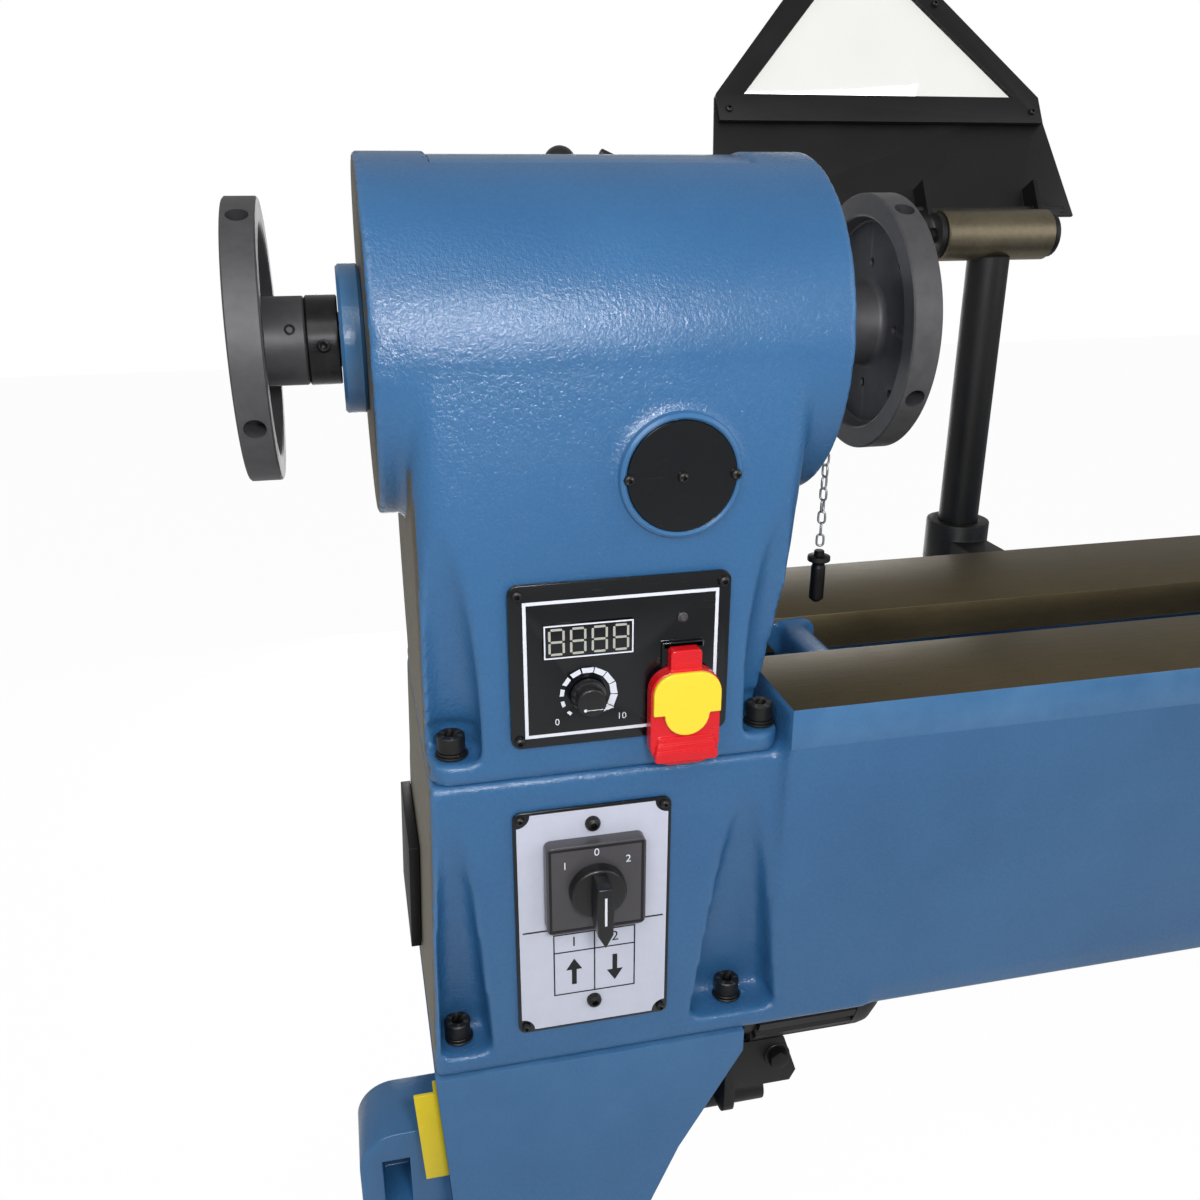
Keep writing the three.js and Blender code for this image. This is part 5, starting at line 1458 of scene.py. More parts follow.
@dataclass
class Legs(SubAssembly):
    """The two cast legs and their levelling feet."""

    edge: float = 3.0
    feet_x: Flat = (77.0, 1509.0)
    feet_y: float = 224.0
    pad_radius: float = 26.0
    toe_top: float = 52.0
    stud_foot: float = 11.0
    stud_top: float = 64.0
    crest: float = 6.9
    root: float = 6.3
    nut_radius: float = 12.0
    nut_height: float = 8.0
    washer: Flat = (7.4, 14.0)

    def build(self) -> None:
        """Builds both legs and the four feet."""
        for node in ("headstock_leg", "tailstock_leg"):
            eased(f"{node}_casting", node, self.edge, Coats.ENAMEL, Body.STAND, 4)
        seats = [at(x, y, 0.0) for x in self.feet_x for y in (-self.feet_y, self.feet_y)]
        self.feet([Matrix.Translation(seat) for seat in seats])

    def feet(self, seats: Sequence[Matrix]) -> None:
        """Rubber pads on steel studs, each with its nut and washer.

        Args:
            seats: Where each foot stands.
        """
        reach = self.pad_radius
        pad = chamfered([(0.0, 0.0), (0.0, reach), (5.0, reach), (9.0, reach * 0.86), (11.7, reach * 0.8),
                         (11.7, 0.0)], 1.2)
        nodes = [f"levelling_foot_{i + 1}" for i in range(4)]
        pads = Piece.lathe("foot_pads", pad, ORIGIN, Axis.Z, 64).copies(seats)
        pads.smooth().dress(Coats.RUBBER, Body.STAND, *nodes)
        studs = Piece.lathe("foot_studs", self.thread(), ORIGIN, Axis.Z, 28).copies(seats)
        studs.smooth(60.0).dress(Coats.BRIGHT, Body.STAND)
        low = self.toe_top + 0.2
        nut = Piece.rod("foot_nuts", Vector((0.0, 0.0, low * MM)),
                        Vector((0.0, 0.0, (low + self.nut_height) * MM)), self.nut_radius * MM, 6)
        inner, outer = self.washer
        ring = ring_profile([(self.toe_top - 0.6, inner), (self.toe_top - 0.6, outer),
                             (self.toe_top + 0.6, outer), (self.toe_top + 0.6, inner)], 0.3)
        washer = Piece.lathe("foot_washer", ring, ORIGIN, Axis.Z, 40, True)
        nut.bevel(0.9 * MM, 2).join(washer).copies(seats).smooth().dress(Coats.BRIGHT, Body.STAND)

    def thread(self) -> list[Flat]:
        """The profile of a stud with one crest and one root to the millimetre.

        Returns:
            The profile, from the stud's foot to its top.
        """
        first = self.stud_foot + 1.0
        profile = [(self.stud_foot, 0.0), (self.stud_foot, self.crest)]
        for i in range(int(self.stud_top - self.stud_foot - 3.0)):
            profile += [(first + i, self.crest), (first + 0.5 + i, self.root)]
        return profile + [(self.stud_top - 1.0, 6.6), (self.stud_top, 5.8), (self.stud_top, 0.0)]


@dataclass
class Bolts(SubAssembly):
    """The socket-head bolts that hold the headstock to the bed and the bed to the leg."""

    head_x: Flat = (30.0, 215.0)
    head_y: float = 84.0
    head_seat: float = 877.0
    leg_x: Flat = (25.0, 204.0)
    leg_y: float = 80.0
    leg_seat: float = 673.0
    head_radius: float = 8.0
    head_height: float = 10.0
    shank: float = 4.8
    key: Flat = (4.5, 5.5)
    stack: float = 3.4
    washer_radius: float = 9.4
    split: Flat = (5.0, 8.4)

    def build(self) -> None:
        """Models one bolt with its washers and copies it to its places."""
        seats = [at(x, y, self.head_seat) for x in self.head_x for y in (-self.head_y, self.head_y)]
        self.bolt("headstock_bolts", seats, "headstock_bolt_1", "headstock_bolt_2")
        seats = [at(x, y, self.leg_seat) for x in self.leg_x for y in (-self.leg_y, self.leg_y)]
        self.bolt("bed_bolts", seats)

    def bolt(self, name: str, seats: Sequence[Vector], *nodes: str) -> None:
        """One bolt, its split washer and its flat washer at every seat.

        Args:
            name: The piece's name.
            seats: Where each bolt stands.
            *nodes: The CAD nodes that they replace.
        """
        low, top = self.stack, self.stack + self.head_height
        profile = [(low - 4.0, 0.0), (low - 4.0, self.shank), (low, self.shank), (low, self.head_radius),
                   (top, self.head_radius), (top, 0.0)]
        key_radius, key_depth = self.key
        shape = Piece.lathe(name, chamfered(profile, 0.7), ORIGIN, Axis.Z, 48)
        shape.cut(Piece.rod("hex_socket", Vector((0.0, 0.0, (top - key_depth) * MM)),
                            Vector((0.0, 0.0, (top + 2.0) * MM)), key_radius * MM, 6))
        reach = self.washer_radius
        flat = ring_profile([(0.2, 5.2), (0.2, reach), (1.7, reach), (1.7, 5.2)], 0.35)
        washer = Piece.lathe("flat_washer", flat, ORIGIN, Axis.Z, 48, True)
        turns = [Matrix.Translation(seat) @ Matrix.Rotation(0.7 * i, 4, "Z") for i, seat in enumerate(seats)]
        bolts = shape.join(washer, self.split_washer()).copies(turns)
        bolts.smooth().dress(Coats.OXIDE, Body.STAND, *nodes)

    def split_washer(self) -> Piece:
        """A square ring with a slanting slit through one side.

        Returns:
            The piece.
        """
        inner, outer = self.split
        profile = ring_profile([(1.8, inner), (1.8, outer), (3.3, outer), (3.3, inner)], 0.3)
        washer = Piece.lathe("split_washer", profile, ORIGIN, Axis.Z, 48, True)
        slit = Piece.box("slit", Vector((-0.5, -12.0, 1.5)) * MM, Vector((0.5, -4.0, 3.5)) * MM)
        lean = Matrix.Rotation(math.radians(24), 4, "Z") @ Matrix.Rotation(math.radians(18), 4, "Y")
        return washer.cut(slit.moved(lean))


# Spindle and drive
@dataclass
class Spindle(SubAssembly):
    """The spindle with its two faceplates, its collar and the bearing cap."""

    radius: float = 76.0
    thick: float = 17.5
    rim: float = 13.0
    dish: float = 8.0
    hub: float = 24.2
    outboard_hub: Flat = (-31.1, 19.0)
    inboard_hub: Flat = (268.6, 29.0)
    tommy_radius: float = 5.8
    rings: Flat = (36.0, 53.0)
    hole_radius: float = 3.0
    rear: float = 15.0
    front: float = 20.0
    nose: float = 25.0
    thread: float = 16.0
    ends: Flat = (-59.6, 307.1)
    collar_span: Flat = (-30.8, -13.3)
    collar_radius: float = 24.5
    cap_span: Flat = (-13.0, -0.3)
    cap_radii: Flat = (19.2, 41.0)

    def build(self) -> None:
        """Builds the faceplates, the shaft, the collar and the cap."""
        self.faceplate("outboard_plate", "outboard_faceplate", self.outboard_hub, self.rear + 0.3, -1)
        self.faceplate("inboard_plate", "inboard_faceplate", self.inboard_hub, self.thread + 0.3, 1)
        self.shaft()
        self.collar()
        self.cap()
        carry_over(Coats.BRIGHT_TURNED, "rear_bearing", "front_bearing", "spindle_pulley")
        carry_over(Coats.RUBBER, "drive_belt")

    def faceplate(self, name: str, node: str, seat: Flat, bore: float, facing: int) -> None:
        """One faceplate, turned with its hub and drilled in its rim and its face.

        Args:
            name: The piece's name.
            node: The CAD node that it replaces.
            seat: Where its hub starts along the spindle, and how long the hub is.
            bore: The radius of its bore.
            facing: 1 where its face looks to +X, and -1 where it looks to -X.
        """
        hub_end, inner = seat
        face = inner + self.thick
        drawing = [(0.0, bore), (0.0, self.hub), (inner + self.dish - 3.0, self.hub),
                   (inner + self.dish, self.hub + 3.0), (inner + self.dish, self.radius - self.rim - 2.5),
                   (inner, self.radius - self.rim), (inner, self.radius), (face, self.radius), (face, bore)]
        profile = ring_profile([(facing * along, reach) for along, reach in drawing], 0.9)
        plate = Piece.lathe(name, profile, at(hub_end, 0.0, SPINDLE_HEIGHT), Axis.X, 128, True)
        plate.cut(*self.tommy_holes(hub_end + facing * (inner + self.thick / 2)))
        low, high = sorted((hub_end + facing * (inner - 2.0), hub_end + facing * (face + 2.0)))
        plate.cut(*self.screw_holes(low, high))
        plate.smooth(30.0).dress(Coats.PHOSPHATE, Body.SPINDLE, node)
        self.hub_socket(name, hub_end + facing * 8.0)

    def tommy_holes(self, x: float) -> list[Piece]:
        """Tools for the four blind holes in the rim.

        Args:
            x: The middle of the rim along the spindle.

        Returns:
            The tools.
        """
        tools = []
        centre = at(x, 0.0, SPINDLE_HEIGHT)
        for i in range(4):
            angle = TURN * (i + 0.3) / 4
            ray = Vector((0.0, math.cos(angle), math.sin(angle)))
            tools.append(Piece.rod(f"tommy_{i}", centre + ray * (self.radius - 11.0) * MM,
                                   centre + ray * (self.radius + 3.0) * MM, self.tommy_radius * MM, 40))
        return tools

    def screw_holes(self, low: float, high: float) -> list[Piece]:
        """Tools for the eight screw holes in two rings.

        Args:
            low: Where the holes start along the spindle.
            high: Where they end.

        Returns:
            The tools.
        """
        tools = []
        for row, reach in enumerate(self.rings):
            for i in range(4):
                angle = TURN * (i + row / 2) / 4
                y, z = reach * math.cos(angle), SPINDLE_HEIGHT + reach * math.sin(angle)
                tools.append(Piece.rod(f"screw_hole_{row}_{i}", at(low, y, z), at(high, y, z),
                                       self.hole_radius * MM, 20))
        return tools

    def hub_socket(self, name: str, x: float) -> None:
        """A small set-screw in the hub, facing the operator.

        Args:
            name: The faceplate's name.
            x: Its place along the spindle.
        """
        seat = at(x, -self.hub * 0.93, SPINDLE_HEIGHT + self.hub * 0.37)
        ray = Vector((0.0, -0.93, 0.37))
        screw = Piece.rod(f"{name}_set_screw", seat - ray * 3.0 * MM, seat + ray * 0.15 * MM, 3.0 * MM, 24)
        screw.cut(Piece.rod("hex_socket", seat - ray * 2.0 * MM, seat + ray * 2.0 * MM, 1.7 * MM, 6))
        screw.bevel(0.25 * MM, 2).smooth().dress(Coats.OXIDE, Body.SPINDLE)

    def shaft(self) -> None:
        """The stepped shaft with centre holes in its ends."""
        left, right = self.ends
        profile = [(left + 7.6, 0.0), (left, 3.0), (left, self.rear), (214.0, self.rear), (214.0, self.front),
                   (250.0, self.front), (250.0, self.nose), (268.3, self.nose), (268.3, self.thread),
                   (right, self.thread), (right, 3.5), (right - 7.1, 0.0)]
        bar = Piece.lathe("spindle_bar", chamfered(profile, 0.6), at(0.0, 0.0, SPINDLE_HEIGHT), Axis.X)
        bar.smooth().dress(Coats.BRIGHT_TURNED, Body.SPINDLE, "spindle_shaft")

    def collar(self) -> None:
        """The black lock collar and its set-screw."""
        (left, right), reach, bore = self.collar_span, self.collar_radius, self.rear + 0.3
        profile = ring_profile([(left, bore), (left, reach), (right, reach), (right, bore)], 0.9)
        ring = Piece.lathe("collar_ring", profile, at(0.0, 0.0, SPINDLE_HEIGHT), Axis.X, 96, True)
        seat = at((left + right) / 2, -reach, SPINDLE_HEIGHT)
        out = -Axis.Y.vector
        ring.cut(Piece.rod("screw_bore", seat - out * 5.0 * MM, seat + out * 4.0 * MM, 3.6 * MM, 32))
        ring.smooth().dress(Coats.OXIDE_TURNED, Body.SPINDLE, "lock_collar")
        screw = Piece.rod("collar_screw", seat - out * 5.5 * MM, seat - out * 0.9 * MM, 3.5 * MM, 32)
        screw.cut(Piece.rod("hex_socket", seat - out * 3.5 * MM, seat + out * 2.0 * MM, 1.9 * MM, 6))
        screw.bevel(0.3 * MM, 2).smooth().dress(Coats.OXIDE, Body.SPINDLE)

    def cap(self) -> None:
        """The blue bearing cap, a thick ring with an eased edge."""
        (left, right), (inner, outer) = self.cap_span, self.cap_radii
        profile = ring_profile([(left, inner), (left, outer), (right, outer), (right, inner)], 1.8)
        ring = Piece.lathe("bearing_cap", profile, at(0.0, 0.0, SPINDLE_HEIGHT), Axis.X, 96, True)
        ring.smooth().dress(Coats.ENAMEL_SMOOTH, Body.STAND, "outboard_bearing_cap")


@dataclass
class Motor(SubAssembly):
    """The motor on its hinged plate."""

    axis_z: float = 638.0
    radius: float = 62.0
    vents: int = 18
    vent_half: float = 1.6
    vent_reach: Flat = (16.0, 38.0)
    lug: tuple[float, float, float] = (262.0, -39.0, 572.0)

    def build(self) -> None:
        """Builds the plate, the body, the fan cover and small parts."""
        eased("motor_mount", "motor_plate", 1.2, Coats.POWDER, Body.MOTOR)
        eased("motor_frame", "motor_body", 0.5, Coats.POWDER, Body.MOTOR, 1)
        carry_over(Coats.BRIGHT_TURNED, "motor_pulley")
        self.fan_cover()
        self.terminal_box()
        self.lug_bolt()

    def fan_cover(self) -> None:
        """A pressed cover with radial vents."""
        low, high = DATUM.box("motor_fan_cover")
        centre, span = at(low[0], 0.0, self.axis_z), high[0] - low[0]
        profile = [(0.0, 0.0), (0.0, self.radius), (span * 0.3, self.radius), (span * 0.5, self.radius - 1.0),
                   (span * 0.8, self.radius - 7.0), (span * 0.95, self.radius - 14.0),
                   (span, self.radius - 18.0), (span, 0.0)]
        cover = Piece.lathe("fan_cover", profile, centre, Axis.X, 96)
        tools = []
        inner, outer = self.vent_reach
        for i in range(self.vents):
            tool = Piece.box(f"vent_{i}", Vector(((span - 3.0) * MM, -self.vent_half * MM, inner * MM)),
                             Vector(((span + 3.0) * MM, self.vent_half * MM, outer * MM)))
            turn = Matrix.Rotation(TURN * i / self.vents, 4, "X")
            tools.append(tool.moved(Matrix.Translation(centre) @ turn))
        cover.cut(*tools).smooth().dress(Coats.POWDER, Body.MOTOR, "motor_fan_cover")

    def terminal_box(self) -> None:
        """Four screws on the terminal box's lid at the rear."""
        low, high = DATUM.box("motor_body")
        screw = pan_screw("terminal_screws", 2.6).moved(Matrix.Rotation(math.pi, 4, "Z"))
        left = low[0] + 26.0
        places = [(x, self.axis_z + up) for x in (left, left + 50.0) for up in (-24.0, 4.0)]
        screw.copies(seats_on(high[1], places)).smooth().dress(Coats.BRIGHT, Body.MOTOR)

    def lug_bolt(self) -> None:
        """The hex bolt and its washer in the plate's lug."""
        seat = at(*self.lug)
        head = Piece.rod("lug_bolt", seat, seat + Vector((0.0, -7.0 * MM, 0.0)), 8.0 * MM, 6)
        ring = ring_profile([(0.6, 5.0), (0.6, 10.0), (-0.8, 10.0), (-0.8, 5.0)], 0.3)
        washer = Piece.lathe("lug_washer", ring, seat, Axis.Y, 40, True)
        head.bevel(0.8 * MM, 2).join(washer).smooth().dress(Coats.OXIDE, Body.MOTOR)


# Fittings on the front
@dataclass
class ControlPanel(SubAssembly):
    """The glossy panel with its display, speed knob and stop paddle."""

    face: float = -103.3
    line: tuple[float, float, float, float] = (69.8, 180.0, 892.0, 973.2)
    display: Flat = (105.9, 949.7)
    display_face: float = -105.1
    knob: Flat = (105.5, 916.0)
    knob_rise: Flat = (-103.7, -115.6)
    scale_radius: float = 14.8
    marks: int = 11
    digit_pitch: float = 12.0
    bar_long: float = 6.4
    bar_thick: float = 1.3
    screws: tuple[Flat, ...] = ((67.0, 977.5), (182.5, 977.0), (66.5, 890.5))
    ledge: tuple[float, float, float, float] = (147.7, 171.5, 940.0, 943.6)
    lamp: Flat = (159.3, 957.5)

    def build(self) -> None:
        """Builds the plate, its prints and everything on it."""
        eased("panel_plate", "control_panel", 0.5, Coats.PANEL, Body.STAND)
        outline_print("panel_line", self.line, 1.9, self.face).dress(Coats.WHITE_INK, Body.STAND)
        screws = pan_screw("panel_screws", 3.1).copies(seats_on(self.face, self.screws))
        screws.smooth().dress(Coats.OXIDE, Body.STAND)
        self.digits()
        self.scale()
        self.speed_knob()
        self.stop_switch()

    def digits(self) -> None:
        """The display with four unlit seven-segment digits."""
        body = Piece.copy_of("display_body", "speed_display").tidy()
        body.bevel(0.4 * MM, 2).smooth().dress(Coats.PANEL, Body.STAND, "speed_display")
        x, z = self.display
        long, thick = self.bar_long, self.bar_thick
        lying = [(0.0, up, long, thick) for up in (7.2, 0.0, -7.2)]
        standing = [(side, up, thick, 6.0) for up in (3.6, -3.6) for side in (-3.9, 3.9)]
        parts = []
        for i in range(4):
            middle = x + (i - 1.5) * self.digit_pitch
            for dx, dz, wide, tall in lying + standing:
                drawing = rounded(middle + dx - wide / 2, middle + dx + wide / 2,
                                  z + dz - tall / 2, z + dz + tall / 2, 0.5)
                parts.append(print_on(f"segment_{i}_{len(parts)}", drawing, self.display_face))
        Piece.joined("display_digits", parts).dress(Coats.SEGMENT, Body.STAND)
        frame = outline_print("display_frame", (x - 25.0, x + 25.0, z - 9.8, z + 9.8), 0.8, self.display_face)
        frame.dress(Coats.WHITE_INK, Body.STAND)

    def scale(self) -> None:
        """The ring of white bars round the knob, growing towards a pointed last one, and its end numbers."""
        x, z = self.knob
        parts = []
        for i in range(self.marks):
            angle = math.radians(225.0 - 270.0 * i / (self.marks - 1))
            half = math.radians(min(12.4, 5.0 + 1.5 * i))
            inner, outer = self.scale_radius - 0.9 - 0.1 * i, self.scale_radius + 0.9 + 0.16 * i
            ends = ((inner, -half), (outer, -half), (outer, half), (inner, half))
            if i == self.marks - 1:
                ends = ((inner, half), (outer + 0.6, half), (inner + 1.6, -half * 0.6))
            drawing = [(x + reach * math.cos(angle + turn), z + reach * math.sin(angle + turn))
                       for reach, turn in ends]
            parts.append(print_on(f"scale_bar_{i}", drawing, self.face))
        parts.append(number("scale_low", "0", (x - 17.5, z - 15.5), 4.0, self.face))
        parts.append(number("scale_high", "10", (x + 19.5, z - 15.5), 4.0, self.face))
        Piece.joined("speed_scale", parts).dress(Coats.WHITE_INK, Body.STAND)

    def speed_knob(self) -> None:
        """A skirted black knob with a pointer."""
        near, far = self.knob_rise
        rise = near - far
        x, z = self.knob
        profile = [(0.0, 0.0), (0.0, 10.0), (-2.2, 10.0), (-3.4, 9.0), (-rise + 0.6, 8.3), (-rise, 7.0),
                   (-rise, 0.0)]
        knob = Piece.lathe("knob_body", chamfered(profile, 0.5), at(x, near, z), Axis.Y, 64)
        knob.smooth().dress(Coats.KNOB, Body.SPEED_KNOB, "speed_knob")
        turn = math.radians(225)
        dot = Piece.lathe("knob_pointer", [(0.2, 0.0), (0.2, 0.9), (-0.12, 0.9), (-0.12, 0.0)],
                          at(x + 5.6 * math.cos(turn), far, z + 5.6 * math.sin(turn)), Axis.Y, 24)
        dot.dress(Coats.WHITE_INK, Body.SPEED_KNOB)
        line = rectangle(x - 3.2, x + 6.0, z - 4.2, z - 3.9)
        print_on("knob_line", line, far + 0.05).dress(Coats.WHITE_INK, Body.SPEED_KNOB)

    def stop_switch(self) -> None:
        """The red paddle, its yellow key, the ledge above and the lamp."""
        moulded("paddle_body", "stop_paddle", 0.55, Coats.RED, Body.STOP_PADDLE, 3)
        moulded("key_body", "paddle_key", 0.45, Coats.YELLOW, Body.STOP_PADDLE, 3)
        left, right, low, high = self.ledge
        ledge = Piece.box("switch_ledge", at(left, self.face - 3.0, low), at(right, self.face + 0.3, high))
        ledge.bevel(0.6 * MM, 2).smooth().dress(Coats.SELECTOR, Body.STAND)
        dome = [(0.3, 0.0), (0.3, 2.9), (-0.9, 2.9), (-1.2, 2.4), (-1.6, 2.2), (-2.4, 1.5), (-2.7, 0.0)]
        x, z = self.lamp
        lamp = Piece.lathe("panel_lamp", dome, at(x, self.face, z), Axis.Y, 32)
        lamp.smooth().dress(Coats.SELECTOR, Body.STAND)


@dataclass
class LabelPlate(SubAssembly):
    """The plate on the bed's end with its table and cam switch."""

    box: tuple[float, float, float, float] = (61.0, 156.0, 687.0, 844.0)
    face: float = -102.3
    border: float = 2.0
    corner: float = 8.0
    table: tuple[float, float, float, float] = (83.4, 134.6, 712.0, 757.0)
    divider: float = 109.0
    row: float = 743.6
    rule: Flat = (760.7, 761.7)
    arrow_z: float = 728.0
    screws: tuple[Flat, ...] = ((65.0, 839.6), (151.6, 839.6), (151.6, 691.4), (65.4, 691.4))
    bolts: tuple[Flat, ...] = ((108.0, 832.5), (108.5, 705.3))
    switch: Flat = (108.5, 794.0)
    switch_face: float = -111.6
    switch_half: float = 28.6
    grip: tuple[Flat, ...] = ((-4.5, 14.6), (4.5, 14.6), (5.2, 0.0), (4.6, -17.0), (0.0, -26.0),
                              (-4.6, -17.0), (-5.2, 0.0))

    def build(self) -> None:
        """Builds the plate, its print, its screws and the switch."""
        eased("label_body", "label_plate", 0.5, Coats.PANEL, Body.STAND)
        left, right, low, high = self.box
        edge = self.border
        film = notched(left + edge, right - edge, low + edge, high - edge, self.corner)
        print_on("label_field", film, self.face).dress(Coats.LABEL, Body.STAND)
        self.print_table()
        screws = pan_screw("label_screws", 2.7).copies(seats_on(self.face, self.screws))
        screws.smooth().dress(Coats.OXIDE, Body.STAND)
        bolts = pan_screw("label_bolts", 4.6, 32).copies(seats_on(self.face - 0.2, self.bolts))
        bolts.smooth().dress(Coats.OXIDE, Body.STAND)
        self.cam_switch()

    def print_table(self) -> None:
        """A plain table with two numbered columns, an arrow in each, and the line above it."""
        y = self.face - 0.15
        left, right, low, high = self.table
        bars = (rectangle(self.divider - 0.4, self.divider + 0.4, low, high),
                rectangle(left, right, self.row - 0.4, self.row + 0.4),
                rectangle(self.box[0] + 4.0, self.box[1] - 4.0, *self.rule))
        parts = [outline_print("label_table", self.table, 0.8, y)]
        parts += [print_on(f"table_bar_{i}", drawing, y) for i, drawing in enumerate(bars)]
        for i, (edge, way) in enumerate(((left, 1), (right, -1))):
            x = (edge + self.divider) / 2
            parts.append(print_on(f"table_arrow_{i}", self.arrow(x, way), y))
            parts.append(number(f"table_head_{i}", str(i + 1), (x, (self.row + high) / 2), 7.0, y))
        Piece.joined("label_table", parts).dress(Coats.BLACK_INK, Body.STAND)

    def arrow(self, x: float, way: int) -> list[Flat]:
        """An arrow that points up where way is 1, and down where it is -1.

        Args:
            x: The arrow's middle.
            way: 1 or -1.

        Returns:
            The outline, each place as x and z.
        """
        foot, neck, tip = (self.arrow_z + reach * way for reach in (-9, 2, 10))
        return [(x - 1.5, foot), (x + 1.5, foot), (x + 1.5, neck), (x + 5, neck), (x, tip), (x - 5, neck),
                (x - 1.5, neck)]

    def cam_switch(self) -> None:
        """The square base with its dark edge, its numbers, and the knob with its tapered grip."""
        eased("switch_base", "selector_base", 1.2, Coats.SELECTOR, Body.STAND, 3)
        x, z = self.switch
        y, half = self.switch_face, self.switch_half
        edge = outline_print("switch_edge", (x - half, x + half, z - half, z + half), 1.6, y)
        edge.dress(Coats.BLACK_INK, Body.STAND)
        marks = [number(f"switch_mark_{text}", text, (x + reach, z + up), 5.0, y)
                 for text, reach, up in (("1", -19.0, 17.0), ("0", 0.0, 24.0), ("2", 19.0, 17.0))]
        Piece.joined("switch_numbers", marks).dress(Coats.WHITE_INK, Body.STAND)
        disc = [(-0.3, 0.0), (-0.3, 17.0), (-7.0, 16.6), (-8.0, 15.4), (-8.0, 0.0)]
        knob = Piece.lathe("switch_knob", chamfered(disc, 0.5), at(x, y, z), Axis.Y, 72)
        front = DATUM.box("selector_knob")[0][1]
        grip = Piece.plate("switch_grip", [at(x + dx, y - 7.5, z + dz) for dx, dz in self.grip],
                           Vector((0.0, (front - y + 7.6) * MM, 0.0)))
        knob.join(grip.bevel(1.1 * MM, 3)).smooth().dress(Coats.KNOB, Body.SELECTOR_KNOB, "selector_knob")
        line = rectangle(x - 0.7, x + 0.7, z - 10.0, z + 9.0)
        pointer = print_on("switch_pointer", line, front + 0.12, 0.1)
        pointer.dress(Coats.WHITE_INK, Body.SELECTOR_KNOB)


@dataclass
class BeltCover(SubAssembly):
    """The curved sheet on the barrel's top with its knob and its latch."""

    knob_x: float = 124.0
    knob_y: float = 50.0
    sheet_radius: float = 97.1
    knob_radius: float = 10.0
    knob_out: float = 11.0

    def build(self) -> None:
        """Builds the sheet and its fittings."""
        eased("cover_sheet", "belt_cover", 0.5, Coats.ENAMEL_SMOOTH, Body.BELT_COVER)
        self.knob()
        moulded("latch_lever", "cover_latch", 0.6, Coats.KNOB, Body.COVER_LATCH, 3)

    def knob(self) -> None:
        """A black ball knob on a short neck, square to the sheet."""
        angle = math.acos(self.knob_y / self.sheet_radius)
        ray = Vector((0.0, math.cos(angle), math.sin(angle)))
        foot = at(self.knob_x, 0.0, SPINDLE_HEIGHT) + ray * (self.sheet_radius + 0.1) * MM
        steps = [(0.0, 0.0), (0.0, 5.4), (1.2, 5.4), (2.2, 4.0)]
        round_top = arc((0.0, self.knob_out), self.knob_radius - 0.1, -62.0, 90.0, 14)
        steps += [(along, reach) for reach, along in round_top]
        ball = Piece.lathe("cover_knob_ball", steps[:-1] + [(steps[-1][0], 0.0)], ORIGIN, Axis.Z, 48)
        ball.moved(Matrix.Translation(foot) @ ray.to_track_quat("Z", "Y").to_matrix().to_4x4())
        ball.smooth(50.0).dress(Coats.KNOB, Body.BELT_COVER, "cover_knob")


@dataclass
class LockPin(SubAssembly):
    """The lock pin on its chain of real links."""

    x: float = 262.0
    y: float = -50.0
    top: float = 1039.25
    pitch: float = 7.2
    count: int = 9
    width: float = 5.6
    length: float = 8.7
    wire: float = 0.72
    link_turn: float = 99.0
    pin_top: float = 971.65
    pin_radius: float = 4.5
    pin_length: float = 30.0
    head_radius: float = 7.0

    def build(self) -> None:
        """Builds the links one by one and the pin below them."""
        first = self.top - self.length / 2 + self.wire
        turns = [Matrix.Translation(at(self.x, self.y, first - self.pitch * i))
                 @ Matrix.Rotation(math.radians(self.link_turn * i), 4, "Z") for i in range(self.count)]
        self.link().copies(turns).smooth(60.0).dress(Coats.BRIGHT, Body.LOCK_PIN, "lock_chain")
        pin, head, end = self.pin_radius, self.head_radius, -self.pin_length
        profile = [(0.0, 0.0), (0.0, 3.0), (-3.0, 3.4), (-3.6, head), (-6.6, head), (-7.2, pin),
                   (-8.4, pin - 0.7), (-9.6, pin - 0.7), (-10.4, pin), (end - 1.0, pin), (end - 3.4, 1.8),
                   (end - 3.5, 0.0)]
        body = Piece.lathe("pin_body", chamfered(profile, 0.4), at(self.x, self.y, self.pin_top), Axis.Z, 40)
        body.smooth().dress(Coats.OXIDE, Body.LOCK_PIN, "lock_pin")

    def link(self) -> Piece:
        """One long link: a wire ring whose halves are pulled apart.

        Returns:
            The link, with its middle at the origin.
        """
        reach = self.width / 2 - self.wire
        ring = Piece.ring("chain_links", ORIGIN, Axis.X, reach * MM, self.wire * MM, 20, 10)
        stretch = (self.length - self.width) / 2 * MM
        for sign in (1.0, -1.0):
            with ring.editing():
                ring.pick(Element.VERT, lambda vertex: sign * vertex.co.z > 1e-6)
                bpy.ops.transform.translate(value=(0.0, 0.0, sign * stretch))
        return ring


